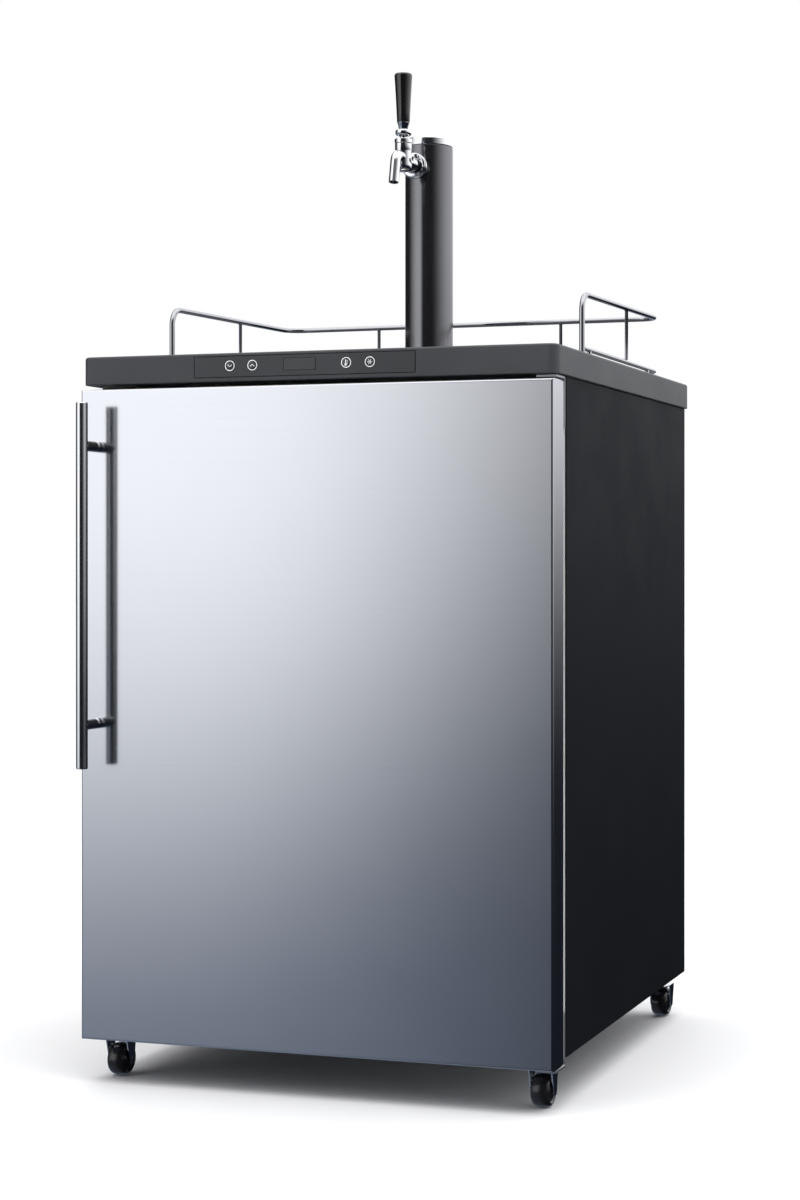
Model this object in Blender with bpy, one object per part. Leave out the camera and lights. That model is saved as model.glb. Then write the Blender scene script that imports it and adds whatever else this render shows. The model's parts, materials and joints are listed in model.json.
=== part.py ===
"""Kegerator: a cabinet on casters with one door, a draft tower, a guard rail and the gas and beer
fittings inside. Metres, +Z up, -Y is the front. The origin is on the floor, under the middle."""

import math

import bmesh
import bpy
from mathutils import Matrix, Vector

# ---------------------------------------------------------------- driving dimensions
GAP = 0.0003                    # between two pieces that touch
TINY = 1e-5

SHEET = 0.0015                  # folded steel sheet
SKIN = 0.0017                   # moulded plastic skin
PANEL_X = 0.297                 # outer face of a side panel
FACE_Y = -0.2353                # front face of the cabinet
BACK_Y = 0.3404                 # rear face of the cabinet
CABINET_BOTTOM = 0.058
BASE_THICK = 0.008
WORKTOP_BOTTOM = 0.840
WORKTOP_TOP = 0.874
WORKTOP_X = 0.300
WORKTOP_FRONT = -0.2817
WORKTOP_BACK = 0.3465
WORKTOP_CORNER = 0.012

WALL = 0.0427                   # insulation at the sides
COMPARTMENT_Y = 0.214           # front of the machine compartment
COMPARTMENT_TOP = 0.250
HUMP_WALL = 0.035
HUMP_ROOF = 0.037
FLOOR_FOAM_TOP = 0.1078
CEILING_FOAM_BOTTOM = 0.810
REAR_FOAM_Y = 0.295

DOOR_X = 0.2975
DOOR_BOTTOM = 0.052
DOOR_TOP = 0.834
DOOR_FRONT = -0.2885
DOOR_BACK = -0.2468
DOOR_SEAM = -0.256              # where the steel skin ends and the inner panel begins
DOOR_SKIN = 0.0012
GASKET_X = 0.280
GASKET_WIDTH = 0.022
HINGE = (0.282, -0.262)
PIN_RADIUS = 0.004

HANDLE_X = -0.276
HANDLE_Y = -0.3255
HANDLE_RADIUS = 0.007
HANDLE_Z = (0.381, 0.816)
POST_RADIUS = 0.0064
POST_Z = (0.433, 0.765)

FASCIA_X = (-0.150, 0.129)
FASCIA_Z = (0.8455, 0.8695)
FASCIA_FRONT = -0.2820
FASCIA_THICK = 0.002
POCKET_BACK = -0.270
KEY_Z = 0.8585
KEY_RADIUS = 0.0065
KEYS = {"key_colder": -0.104, "key_warmer": -0.075, "key_units": 0.044, "key_fast_chill": 0.0735}
WINDOW_X = (-0.035, 0.005)
WINDOW_Z = (0.8515, 0.8655)

TOWER_Y = 0.119
TOWER_RADIUS = 0.032
TOWER_WALL = 0.002
TOWER_TOP = 1.180
CAP_TOP = 1.192
PASSAGE_RADIUS = 0.0255         # hole through worktop and ceiling, below the tower

SHANK_Z = 1.147
SHANK_RADIUS = 0.0105
SHANK_FRONT = 0.064
FAUCET_Y = 0.022
LEVER_PIVOT = 1.166
TAP_TOP = 1.260

RAIL_X = 0.274
RAIL_FRONT = -0.092
RAIL_BACK = 0.281
RAIL_RADIUS = 0.0035
RAIL_FRONT_Z = 0.952
RAIL_BACK_Z = 0.960
LOWER_RAIL_Z = 0.886
LOWER_RAIL_RADIUS = 0.003
RAIL_POST_RADIUS = 0.00225
SIDE_POST_Y = 0.115
BACK_POST_X = 0.135

WHEEL_RADIUS = 0.020
WHEEL_STEPS = 20
AXLE_RADIUS = 0.003
TRAIL = 0.016                   # from the swivel axis back to the axle
CASTERS = {
    "front_left": (-0.270, -0.221),
    "front_right": (0.270, -0.221),
    "rear_left": (-0.270, 0.300),
    "rear_right": (0.270, 0.300),
}

CYLINDER = (-0.178, 0.220)
CYLINDER_RADIUS = 0.065
VALVE_Z = 0.683
REGULATOR_X = -0.100
GAUGE_RADIUS = 0.025
COUPLER = (0.160, 0.235)
COUPLER_PIVOT = 0.362
LINE_RADIUS = 0.005

# ---------------------------------------------------------------- looks: colour, roughness, metallic
STAINLESS = ((0.62, 0.63, 0.65), 0.30, 1.0)
CHROME = ((0.86, 0.86, 0.87), 0.06, 1.0)
ZINC = ((0.55, 0.56, 0.58), 0.42, 1.0)
BRASS = ((0.72, 0.55, 0.27), 0.32, 1.0)
ALUMINIUM = ((0.70, 0.71, 0.72), 0.38, 1.0)
BLACK_PAINT = ((0.022, 0.024, 0.028), 0.38, 0.0)
BLACK_PLASTIC = ((0.030, 0.031, 0.033), 0.42, 0.0)
GLOSS_BLACK = ((0.010, 0.010, 0.011), 0.12, 0.0)
LINER_WHITE = ((0.80, 0.81, 0.82), 0.40, 0.0)
FOAM = ((0.82, 0.76, 0.55), 0.95, 0.0)
GASKET = ((0.30, 0.30, 0.31), 0.70, 0.0)
RUBBER = ((0.020, 0.020, 0.020), 0.60, 0.0)
LINE_RED = ((0.55, 0.05, 0.05), 0.35, 0.0)
LINE_CLEAR = ((0.80, 0.82, 0.84), 0.25, 0.0)
GAUGE_FACE = ((0.82, 0.82, 0.80), 0.35, 0.0)


# ---------------------------------------------------------------- making pieces
def paint(name, look):
    colour, roughness, metallic = look
    material = bpy.data.materials.new(name)
    material.use_nodes = True
    shader = material.node_tree.nodes["Principled BSDF"]
    shader.inputs["Base Color"].default_value = (*colour, 1.0)
    shader.inputs["Roughness"].default_value = roughness
    shader.inputs["Metallic"].default_value = metallic
    return material


def object_from(name, bm, pivot=(0, 0, 0)):
    """Turns a bmesh in world coordinates into an object whose origin is at the pivot."""
    bmesh.ops.recalc_face_normals(bm, faces=bm.faces)
    bmesh.ops.translate(bm, vec=-Vector(pivot), verts=bm.verts)
    mesh = bpy.data.meshes.new(name)
    bm.to_mesh(mesh)
    bm.free()
    mesh.shade_smooth()
    mesh.set_sharp_from_angle(angle=math.radians(35))
    obj = bpy.data.objects.new(name, mesh)
    obj.location = pivot
    bpy.context.scene.collection.objects.link(obj)
    return obj


def piece(name, look, bm, pivot=(0, 0, 0)):
    obj = object_from(name, bm, pivot)
    obj.data.materials.append(paint(name, look))
    return obj


def boolean(target, bm, operation):
    """Adds a shape to the target, or cuts it away, with a hidden helper."""
    number = len(target.modifiers) + 1
    tool = object_from(f"{target.name}_{operation.lower()}_{number}", bm)
    tool.hide_render = True
    tool.display_type = "WIRE"
    modifier = target.modifiers.new(tool.name, "BOOLEAN")
    modifier.operation = operation
    modifier.solver = "EXACT"
    modifier.object = tool


def add(target, bm):
    boolean(target, bm, "UNION")


def cut(target, bm):
    boolean(target, bm, "DIFFERENCE")


# ---------------------------------------------------------------- shapes
def block(low, high, rounding=0.0, segments=2):
    bm = bmesh.new()
    bmesh.ops.create_cube(bm, size=1.0)
    low = Vector(low)
    high = Vector(high)
    bmesh.ops.scale(bm, vec=high - low, verts=bm.verts)
    bmesh.ops.translate(bm, vec=(low + high) / 2, verts=bm.verts)
    if rounding:
        bmesh.ops.bevel(
            bm, geom=bm.edges[:], offset=rounding, segments=segments, profile=0.5, affect="EDGES"
        )
    return bm


def prism(outline, axis, start, end):
    """An outline in the plane across the axis, in X, Y, Z order, extruded along it."""
    along = "XYZ".index(axis)
    first, second = [i for i in range(3) if i != along]
    bm = bmesh.new()
    ring = []
    for a, b in outline:
        spot = Vector((0, 0, 0))
        spot[along] = start
        spot[first] = a
        spot[second] = b
        ring.append(bm.verts.new(spot))
    face = bm.faces.new(ring)
    made = bmesh.ops.extrude_face_region(bm, geom=[face], use_keep_orig=True)
    shift = Vector((0, 0, 0))
    shift[along] = end - start
    moved = [part for part in made["geom"] if isinstance(part, bmesh.types.BMVert)]
    bmesh.ops.translate(bm, vec=shift, verts=moved)
    return bm


def rounded_rectangle(low, high, radii, steps=4):
    """Corner radii in the order low-low, high-low, high-high, low-high."""
    corners = [(low[0], low[1]), (high[0], low[1]), (high[0], high[1]), (low[0], high[1])]
    inward = [(1, 1), (-1, 1), (-1, -1), (1, -1)]
    outline = []
    for number, (corner, toward, radius) in enumerate(zip(corners, inward, radii)):
        centre = (corner[0] + toward[0] * radius, corner[1] + toward[1] * radius)
        start = math.pi + number * math.pi / 2
        for step in range(steps + 1):
            angle = start + step * math.pi / 2 / steps
            outline.append(
                (centre[0] + radius * math.cos(angle), centre[1] + radius * math.sin(angle))
            )
    return outline


def turned(profile, centre=(0, 0, 0), axis="Z", steps=16):
    """Spins (radius, height) pairs round the axis. A profile off the axis closes into a ring."""
    bm = bmesh.new()
    points = [bm.verts.new((radius, 0, height)) for radius, height in profile]
    edges = [bm.edges.new(pair) for pair in zip(points, points[1:])]
    if profile[0][0] > 0:
        edges.append(bm.edges.new((points[-1], points[0])))
    bmesh.ops.spin(
        bm, geom=points + edges, axis=(0, 0, 1), cent=(0, 0, 0), angle=2 * math.pi, steps=steps
    )
    bmesh.ops.remove_doubles(bm, verts=bm.verts, dist=1e-7)
    turns = {
        "X": Matrix.Rotation(math.pi / 2, 3, "Y"),
        "Y": Matrix.Rotation(-math.pi / 2, 3, "X"),
        "Z": Matrix.Identity(3),
    }
    bmesh.ops.rotate(bm, matrix=turns[axis], verts=bm.verts)
    bmesh.ops.translate(bm, vec=centre, verts=bm.verts)
    return bm


def pin(radius, start, end, centre, axis="Z", steps=12):
    """A plain round bar from start to end along the axis."""
    return turned([(0, start), (radius, start), (radius, end), (0, end)], centre, axis, steps)


def bent(corners, radii, arc_steps=6):
    """The points of a path that turns each inner corner on an arc."""
    corners = [Vector(corner) for corner in corners]
    path = [corners[0]]
    for before, corner, after, radius in zip(corners, corners[1:], corners[2:], radii):
        back = (before - corner).normalized()
        onward = (after - corner).normalized()
        half = back.angle(onward) / 2
        start = corner + back * radius / math.tan(half)
        centre = corner + (back + onward).normalized() * radius / math.sin(half)
        normal = back.cross(onward).normalized()
        for step in range(arc_steps + 1):
            swing = -(math.pi - 2 * half) * step / arc_steps
            path.append(centre + Matrix.Rotation(swing, 3, normal) @ (start - centre))
    path.append(corners[-1])
    return path


def smooth(route, spacing):
    """Evenly spread points on a smooth curve through the route."""
    route = [Vector(point) for point in route]
    ends = [2 * route[0] - route[1]] + route + [2 * route[-1] - route[-2]]
    fine = []
    for p0, p1, p2, p3 in zip(ends, ends[1:], ends[2:], ends[3:]):
        for step in range(20):
            t = step / 20
            fine.append(
                0.5
                * (
                    2 * p1
                    + (p2 - p0) * t
                    + (2 * p0 - 5 * p1 + 4 * p2 - p3) * t * t
                    + (3 * p1 - p0 - 3 * p2 + p3) * t**3
                )
            )
    fine.append(route[-1])
    lengths = [0.0]
    for a, b in zip(fine, fine[1:]):
        lengths.append(lengths[-1] + (b - a).length)
    count = round(lengths[-1] / spacing)
    points = []
    index = 0
    for number in range(count + 1):
        target = lengths[-1] * number / count
        while index < len(fine) - 2 and lengths[index + 1] < target:
            index += 1
        share = (target - lengths[index]) / (lengths[index + 1] - lengths[index])
        points.append(fine[index].lerp(fine[index + 1], share))
    return points


def tube_curve(name, points, radius, resolution):
    curve = bpy.data.curves.new(name, "CURVE")
    curve.dimensions = "3D"
    curve.bevel_depth = radius
    curve.bevel_resolution = resolution
    curve.use_fill_caps = True
    curve.resolution_u = 1
    spline = curve.splines.new("POLY")
    spline.points.add(len(points) - 1)
    for spot, point in zip(spline.points, points):
        spot.co = (*point, 1.0)
    return bpy.data.objects.new(name, curve)


def rod(points, radius, resolution=2):
    """A round bar along a path, as a closed mesh."""
    guide = tube_curve("rod_guide", points, radius, resolution)
    mesh = bpy.data.meshes.new_from_object(guide)
    bm = bmesh.new()
    bm.from_mesh(mesh)
    bmesh.ops.remove_doubles(bm, verts=bm.verts, dist=1e-6)
    bpy.data.objects.remove(guide)
    bpy.data.meshes.remove(mesh)
    return bm


def line(name, look, route):
    """A hose, as a curve with filled caps."""
    hose = tube_curve(name, smooth(route, 5 * LINE_RADIUS), LINE_RADIUS, 2)
    bpy.context.scene.collection.objects.link(hose)
    hose.data.materials.append(paint(name, look))
    return hose


def round_edges(bm, chosen, width, segments=3):
    """Rounds the edges whose two ends both pass the test."""
    edges = [edge for edge in bm.edges if all(chosen(vert.co) for vert in edge.verts)]
    bmesh.ops.bevel(bm, geom=edges, offset=width, segments=segments, profile=0.5, affect="EDGES")


# ---------------------------------------------------------------- cabinet
def interior(inset, front):
    """The side view of the cold space: floor, hump over the compressor, rear wall and ceiling."""
    hump_front = COMPARTMENT_Y - HUMP_WALL - inset
    hump_top = COMPARTMENT_TOP + HUMP_ROOF + inset
    floor = FLOOR_FOAM_TOP + inset
    ceiling = CEILING_FOAM_BOTTOM - inset
    rear = REAR_FOAM_Y - inset
    return [
        (front, floor),
        (hump_front, floor),
        (hump_front, hump_top),
        (rear, hump_top),
        (rear, ceiling),
        (front, ceiling),
    ]


def make_cabinet():
    inside_x = PANEL_X - SHEET - GAP
    inside_y = BACK_Y - SHEET - GAP
    base_top = CABINET_BOTTOM + BASE_THICK
    base = piece(
        "base_frame",
        BLACK_PAINT,
        block((-inside_x, FACE_Y + GAP, CABINET_BOTTOM), (inside_x, inside_y, base_top)),
    )
    for x, y in CASTERS.values():
        cut(base, pin(0.0062, CABINET_BOTTOM - 0.01, base_top + 0.01, (x, y, 0)))

    flange = 0.0135
    for side, name in ((-1, "side_panel_left"), (1, "side_panel_right")):
        outline = [
            (side * PANEL_X, FACE_Y),
            (side * PANEL_X, BACK_Y),
            (side * (PANEL_X - flange), BACK_Y),
            (side * (PANEL_X - flange), BACK_Y - SHEET),
            (side * (PANEL_X - SHEET), BACK_Y - SHEET),
            (side * (PANEL_X - SHEET), FACE_Y),
        ]
        piece(name, BLACK_PAINT, prism(outline, "Z", CABINET_BOTTOM, WORKTOP_BOTTOM - GAP))

    rear_x = PANEL_X - flange - GAP
    piece(
        "rear_panel",
        ZINC,
        block(
            (-rear_x, BACK_Y - SHEET, COMPARTMENT_TOP + GAP),
            (rear_x, BACK_Y, WORKTOP_BOTTOM - 2 * GAP),
        ),
    )
    cover = piece(
        "machine_cover",
        ZINC,
        block(
            (-rear_x, BACK_Y - SHEET, CABINET_BOTTOM + GAP),
            (rear_x, BACK_Y, COMPARTMENT_TOP - GAP),
        ),
    )
    for x in (-0.06, 0.06, 0.18):
        for row in range(5):
            z = 0.100 + 0.026 * row
            cut(cover, block((x - 0.045, BACK_Y - 0.01, z), (x + 0.045, BACK_Y + 0.01, z + 0.008)))
    inlet_low = Vector((-0.215, 0.330, 0.084))
    inlet_high = Vector((-0.185, 0.3425, 0.106))
    cut(
        cover,
        block(
            (inlet_low.x - GAP, BACK_Y - 0.01, inlet_low.z - GAP),
            (inlet_high.x + GAP, BACK_Y + 0.01, inlet_high.z + GAP),
        ),
    )
    inlet = piece("power_inlet", BLACK_PLASTIC, block(inlet_low, inlet_high))
    recess_low = inlet_low + Vector((0.003, 0.004, 0.003))
    recess_high = inlet_high + Vector((-0.003, 0.01, -0.003))
    cut(inlet, block(recess_low, recess_high))

    front = FACE_Y + GAP + SKIN + GAP
    outline = [
        (front, base_top + GAP),
        (COMPARTMENT_Y, base_top + GAP),
        (COMPARTMENT_Y, COMPARTMENT_TOP),
        (inside_y, COMPARTMENT_TOP),
        (inside_y, WORKTOP_BOTTOM - 2 * GAP),
        (front, WORKTOP_BOTTOM - 2 * GAP),
    ]
    foam = piece("foam_insulation", FOAM, prism(outline, "X", -inside_x, inside_x))
    foam_x = inside_x - WALL
    cut(foam, prism(interior(0, front - 0.01), "X", -foam_x, foam_x))
    cut(foam, pin(PASSAGE_RADIUS, 0.79, 0.85, (0, TOWER_Y, 0)))

    liner_front = FACE_Y + GAP
    liner = piece(
        "inner_liner",
        LINER_WHITE,
        prism(interior(GAP, liner_front + SKIN / 2), "X", GAP - foam_x, foam_x - GAP),
    )
    add(
        liner,
        block(
            (GAP - inside_x, liner_front, base_top + 2 * GAP),
            (inside_x - GAP, liner_front + SKIN, WORKTOP_BOTTOM - 3 * GAP),
        ),
    )
    hollow_x = foam_x - GAP - SKIN
    cut(liner, prism(interior(GAP + SKIN, liner_front - 0.01), "X", -hollow_x, hollow_x))
    cut(liner, pin(PASSAGE_RADIUS, 0.79, 0.83, (0, TOWER_Y, 0)))


def make_worktop():
    outline = rounded_rectangle(
        (-WORKTOP_X, WORKTOP_FRONT),
        (WORKTOP_X, WORKTOP_BACK),
        (WORKTOP_CORNER, WORKTOP_CORNER, 0.004, 0.004),
    )
    slab = prism(outline, "Z", WORKTOP_BOTTOM, WORKTOP_TOP)
    round_edges(slab, lambda spot: spot.z > WORKTOP_TOP - TINY, 0.003)
    top = piece("worktop", BLACK_PLASTIC, slab)
    cut(top, pin(PASSAGE_RADIUS, 0.83, 0.88, (0, TOWER_Y, 0)))
    cut(
        top,
        block(
            (FASCIA_X[0] - GAP, WORKTOP_FRONT - 0.01, FASCIA_Z[0] - GAP),
            (FASCIA_X[1] + GAP, POCKET_BACK, FASCIA_Z[1] + GAP),
        ),
    )


def make_controls():
    fascia_back = FASCIA_FRONT + FASCIA_THICK
    fascia = piece(
        "control_fascia",
        GLOSS_BLACK,
        block(
            (FASCIA_X[0], FASCIA_FRONT, FASCIA_Z[0]),
            (FASCIA_X[1], fascia_back, FASCIA_Z[1]),
        ),
    )
    cut(
        fascia,
        block(
            (WINDOW_X[0] - GAP, FASCIA_FRONT - 0.01, WINDOW_Z[0] - GAP),
            (WINDOW_X[1] + GAP, fascia_back + 0.01, WINDOW_Z[1] + GAP),
        ),
    )
    piece(
        "display_window",
        GLOSS_BLACK,
        block(
            (WINDOW_X[0], FASCIA_FRONT - 0.0002, WINDOW_Z[0]),
            (WINDOW_X[1], fascia_back, WINDOW_Z[1]),
        ),
    )
    front = FASCIA_FRONT - 0.0004
    behind = fascia_back + GAP
    for name, x in KEYS.items():
        cut(
            fascia,
            pin(KEY_RADIUS + GAP, FASCIA_FRONT - 0.01, fascia_back + 0.01, (x, 0, KEY_Z), "Y", 16),
        )
        profile = [
            (0, front),
            (KEY_RADIUS - 0.0005, front),
            (KEY_RADIUS, front + 0.0005),
            (KEY_RADIUS, behind),
            (KEY_RADIUS + 0.0015, behind),
            (KEY_RADIUS + 0.0015, behind + 0.0015),
            (0, behind + 0.0015),
        ]
        piece(name, GLOSS_BLACK, turned(profile, (x, 0, KEY_Z), "Y", 16), (x, front, KEY_Z))


def make_drip_tray():
    floor = WORKTOP_TOP + GAP
    top = floor + 0.0135
    low = (-0.075, -0.095)
    high = (0.075, 0.060)
    corner = (0.012,) * 4
    tray = piece(
        "drip_tray",
        BLACK_PLASTIC,
        prism(rounded_rectangle(low, high, corner), "Z", floor, top),
        (0, 0, floor),
    )
    wall = 0.0025
    inner_low = (low[0] + wall, low[1] + wall)
    inner_high = (high[0] - wall, high[1] - wall)
    inner = rounded_rectangle(inner_low, inner_high, (0.0095,) * 4)
    cut(tray, prism(inner, "Z", floor + 0.002, top + 0.01))
    ledge = top - 0.0035
    inner_low = (inner_low[0] + GAP, inner_low[1] + GAP)
    inner_high = (inner_high[0] - GAP, inner_high[1] - GAP)
    grille = piece(
        "drip_grille",
        STAINLESS,
        prism(rounded_rectangle(inner_low, inner_high, (0.009,) * 4), "Z", ledge, top - 0.0015),
        (0, 0, ledge),
    )
    for row in range(7):
        y = inner_low[1] + 0.016 + 0.0185 * row
        for side in (-1, 1):
            ends = sorted((side * 0.005, side * 0.060))
            cut(grille, block((ends[0], y, ledge - 0.01), (ends[1], y + 0.006, top + 0.01)))


# ---------------------------------------------------------------- draft tower and faucet
def make_tower():
    foot = WORKTOP_TOP + GAP
    inner = TOWER_RADIUS - TOWER_WALL
    profile = [
        (PASSAGE_RADIUS, foot),
        (0.050, foot),
        (0.052, foot + 0.002),
        (0.050, foot + 0.005),
        (inner - 0.0005, foot + 0.005),
        (inner - 0.0005, foot + 0.018),
        (PASSAGE_RADIUS, foot + 0.018),
    ]
    piece("tower_flange", BLACK_PAINT, turned(profile, (0, TOWER_Y, 0), steps=24))
    bottom = foot + 0.005 + GAP
    profile = [(inner, bottom), (TOWER_RADIUS, bottom), (TOWER_RADIUS, TOWER_TOP), (inner, TOWER_TOP)]
    column = piece("tower_column", BLACK_PAINT, turned(profile, (0, TOWER_Y, 0), steps=32))
    cut(column, pin(SHANK_RADIUS + 0.0008, 0.07, TOWER_Y, (0, 0, SHANK_Z), "Y", 16))
    profile = [
        (0, TOWER_TOP - 0.008),
        (inner - 0.0005, TOWER_TOP - 0.008),
        (inner - 0.0005, TOWER_TOP + GAP),
        (TOWER_RADIUS - 0.0002, TOWER_TOP + GAP),
        (TOWER_RADIUS - 0.0002, CAP_TOP - 0.002),
        (TOWER_RADIUS - 0.002, CAP_TOP),
        (0, CAP_TOP),
    ]
    piece("tower_cap", CHROME, turned(profile, (0, TOWER_Y, 0), steps=32))


def make_faucet():
    centre = (0, 0, SHANK_Z)
    tower_front = TOWER_Y - TOWER_RADIUS
    nut_back = SHANK_FRONT + 0.004
    bore = 0.004
    profile = [
        (bore, SHANK_FRONT),
        (SHANK_RADIUS, SHANK_FRONT),
        (SHANK_RADIUS, nut_back + 0.0005),
        (0.0150, nut_back + 0.001),
        (0.0125, tower_front - 0.0005),
        (SHANK_RADIUS, tower_front - 0.0005),
        (SHANK_RADIUS, TOWER_Y - 0.001),
        (bore, TOWER_Y - 0.001),
    ]
    shank = piece("shank", CHROME, turned(profile, centre, "Y"))
    elbow = bent(
        [(0, 0.114, SHANK_Z), (0, 0.126, SHANK_Z), (0, 0.126, SHANK_Z - 0.022)], [0.007], 4
    )
    add(shank, rod(elbow, 0.0062))

    nut_front = SHANK_FRONT - 0.007
    profile = [
        (0.0112, nut_front),
        (0.0150, nut_front),
        (0.0165, nut_front + 0.001),
        (0.0165, nut_front + 0.004),
        (0.0155, nut_front + 0.0045),
        (0.0155, nut_front + 0.0065),
        (0.0165, nut_front + 0.007),
        (0.0165, nut_back - 0.001),
        (0.0150, nut_back),
        (0.0112, nut_back),
    ]
    piece("coupling_nut", CHROME, turned(profile, centre, "Y"))

    tail = SHANK_FRONT - GAP
    barrel_top = LEVER_PIVOT + 0.0027
    body = piece("faucet_body", CHROME, pin(SHANK_RADIUS, FAUCET_Y, tail, centre, "Y", 16))
    axis = (0, FAUCET_Y, 0)
    profile = [
        (0, SHANK_Z - 0.0145),
        (0.0085, SHANK_Z - 0.0135),
        (0.0110, SHANK_Z - 0.009),
        (0.0110, barrel_top),
        (0, barrel_top),
    ]
    add(body, turned(profile, axis))
    tip = (0, -0.0135, 1.112)
    path = bent([(0, FAUCET_Y - 0.004, 1.152), (0, -0.006, 1.152), tip], [0.011], 6)
    add(body, rod(path, 0.0068, 4))
    cut(body, pin(0.0045, tip[2] - 0.01, tip[2] + 0.008, (0, tip[1] + 0.0005, 0)))
    cut(body, pin(0.0070, FAUCET_Y - 0.006, tail + 0.01, centre, "Y"))
    cut(body, pin(0.0088, SHANK_Z + 0.002, barrel_top + 0.01, axis))

    bonnet = [
        (0.0088, barrel_top + GAP),
        (0.0115, barrel_top + GAP),
        (0.0115, LEVER_PIVOT + 0.008),
        (0.0108, LEVER_PIVOT + 0.0088),
        (0.0088, LEVER_PIVOT + 0.0088),
    ]
    piece("bonnet_nut", CHROME, turned(bonnet, axis))

    rod_radius = 0.0028
    collar = 0.0055
    profile = [
        (0, FAUCET_Y - 0.0055),
        (collar, FAUCET_Y - 0.0055),
        (collar, FAUCET_Y - 0.003),
        (rod_radius, FAUCET_Y - 0.003),
        (rod_radius, FAUCET_Y + 0.003),
        (collar, FAUCET_Y + 0.003),
        (collar, FAUCET_Y + 0.0055),
        (rod_radius, FAUCET_Y + 0.0055),
        (rod_radius, tail - 0.0102),
        (0.0062, tail - 0.0102),
        (0.0062, tail - 0.0065),
        (0, tail - 0.0065),
    ]
    piece("faucet_plunger", ZINC, turned(profile, centre, "Y", 12), (0, FAUCET_Y, SHANK_Z))

    ball = 0.0075
    neck = 0.0045
    finger = 0.0018
    low = math.acos(finger / ball)
    high = math.acos(neck / ball)
    profile = [(0, SHANK_Z + 0.0035), (finger, SHANK_Z + 0.0035)]
    for step in range(7):
        angle = -low + (low + high) * step / 6
        profile.append((ball * math.cos(angle), LEVER_PIVOT + ball * math.sin(angle)))
    profile += [
        (neck, LEVER_PIVOT + 0.012),
        (0.0105, LEVER_PIVOT + 0.0145),
        (0.0105, LEVER_PIVOT + 0.0198),
        (0.0095, LEVER_PIVOT + 0.0208),
        (0.0035, LEVER_PIVOT + 0.0208),
        (0.0035, LEVER_PIVOT + 0.030),
        (0, LEVER_PIVOT + 0.030),
    ]
    pivot = (0, FAUCET_Y, LEVER_PIVOT)
    piece("faucet_lever", CHROME, turned(profile, axis), pivot)
    profile = [
        (0, LEVER_PIVOT + 0.032),
        (0.0038, LEVER_PIVOT + 0.032),
        (0.0038, LEVER_PIVOT + 0.0211),
        (0.0058, LEVER_PIVOT + 0.0211),
        (0.0080, LEVER_PIVOT + 0.0298),
        (0.0085, LEVER_PIVOT + 0.0302),
        (0.0117, TAP_TOP - 0.006),
        (0.0115, TAP_TOP - 0.003),
        (0.0100, TAP_TOP - 0.0006),
        (0, TAP_TOP),
    ]
    piece("tap_handle", GLOSS_BLACK, turned(profile, axis), pivot)


# ---------------------------------------------------------------- guard rail
def make_rail():
    foot = WORKTOP_TOP + GAP
    corners = []
    for side in (-1, 1):
        leg = [
            (side * RAIL_X, RAIL_FRONT, foot),
            (side * RAIL_X, RAIL_FRONT, RAIL_FRONT_Z),
            (side * RAIL_X, RAIL_BACK, RAIL_BACK_Z),
        ]
        corners += leg if side < 0 else leg[::-1]
    rail = piece("rail_upper", CHROME, rod(bent(corners, [0.022, 0.025, 0.025, 0.022]), RAIL_RADIUS))
    slope = (RAIL_BACK_Z - RAIL_FRONT_Z) / (RAIL_BACK - RAIL_FRONT)
    post_foot = LOWER_RAIL_Z + LOWER_RAIL_RADIUS + GAP
    for side in (-1, 1):
        for x, y in ((side * RAIL_X, SIDE_POST_Y), (side * BACK_POST_X, RAIL_BACK)):
            top = RAIL_FRONT_Z + slope * (y - RAIL_FRONT)
            add(rail, pin(RAIL_POST_RADIUS, post_foot, top, (x, y, 0), steps=8))

    start = RAIL_FRONT + RAIL_RADIUS + GAP
    corners = [
        (-RAIL_X, start, LOWER_RAIL_Z),
        (-RAIL_X, RAIL_BACK, LOWER_RAIL_Z),
        (RAIL_X, RAIL_BACK, LOWER_RAIL_Z),
        (RAIL_X, start, LOWER_RAIL_Z),
    ]
    lower = piece("rail_lower", CHROME, rod(bent(corners, [0.025, 0.025]), LOWER_RAIL_RADIUS))
    for side in (-1, 1):
        for x, y in ((side * RAIL_X, 0.22), (side * 0.22, RAIL_BACK), (side * RAIL_X, -0.06)):
            add(lower, pin(0.0035, foot, LOWER_RAIL_Z, (x, y, 0), steps=8))


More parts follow.
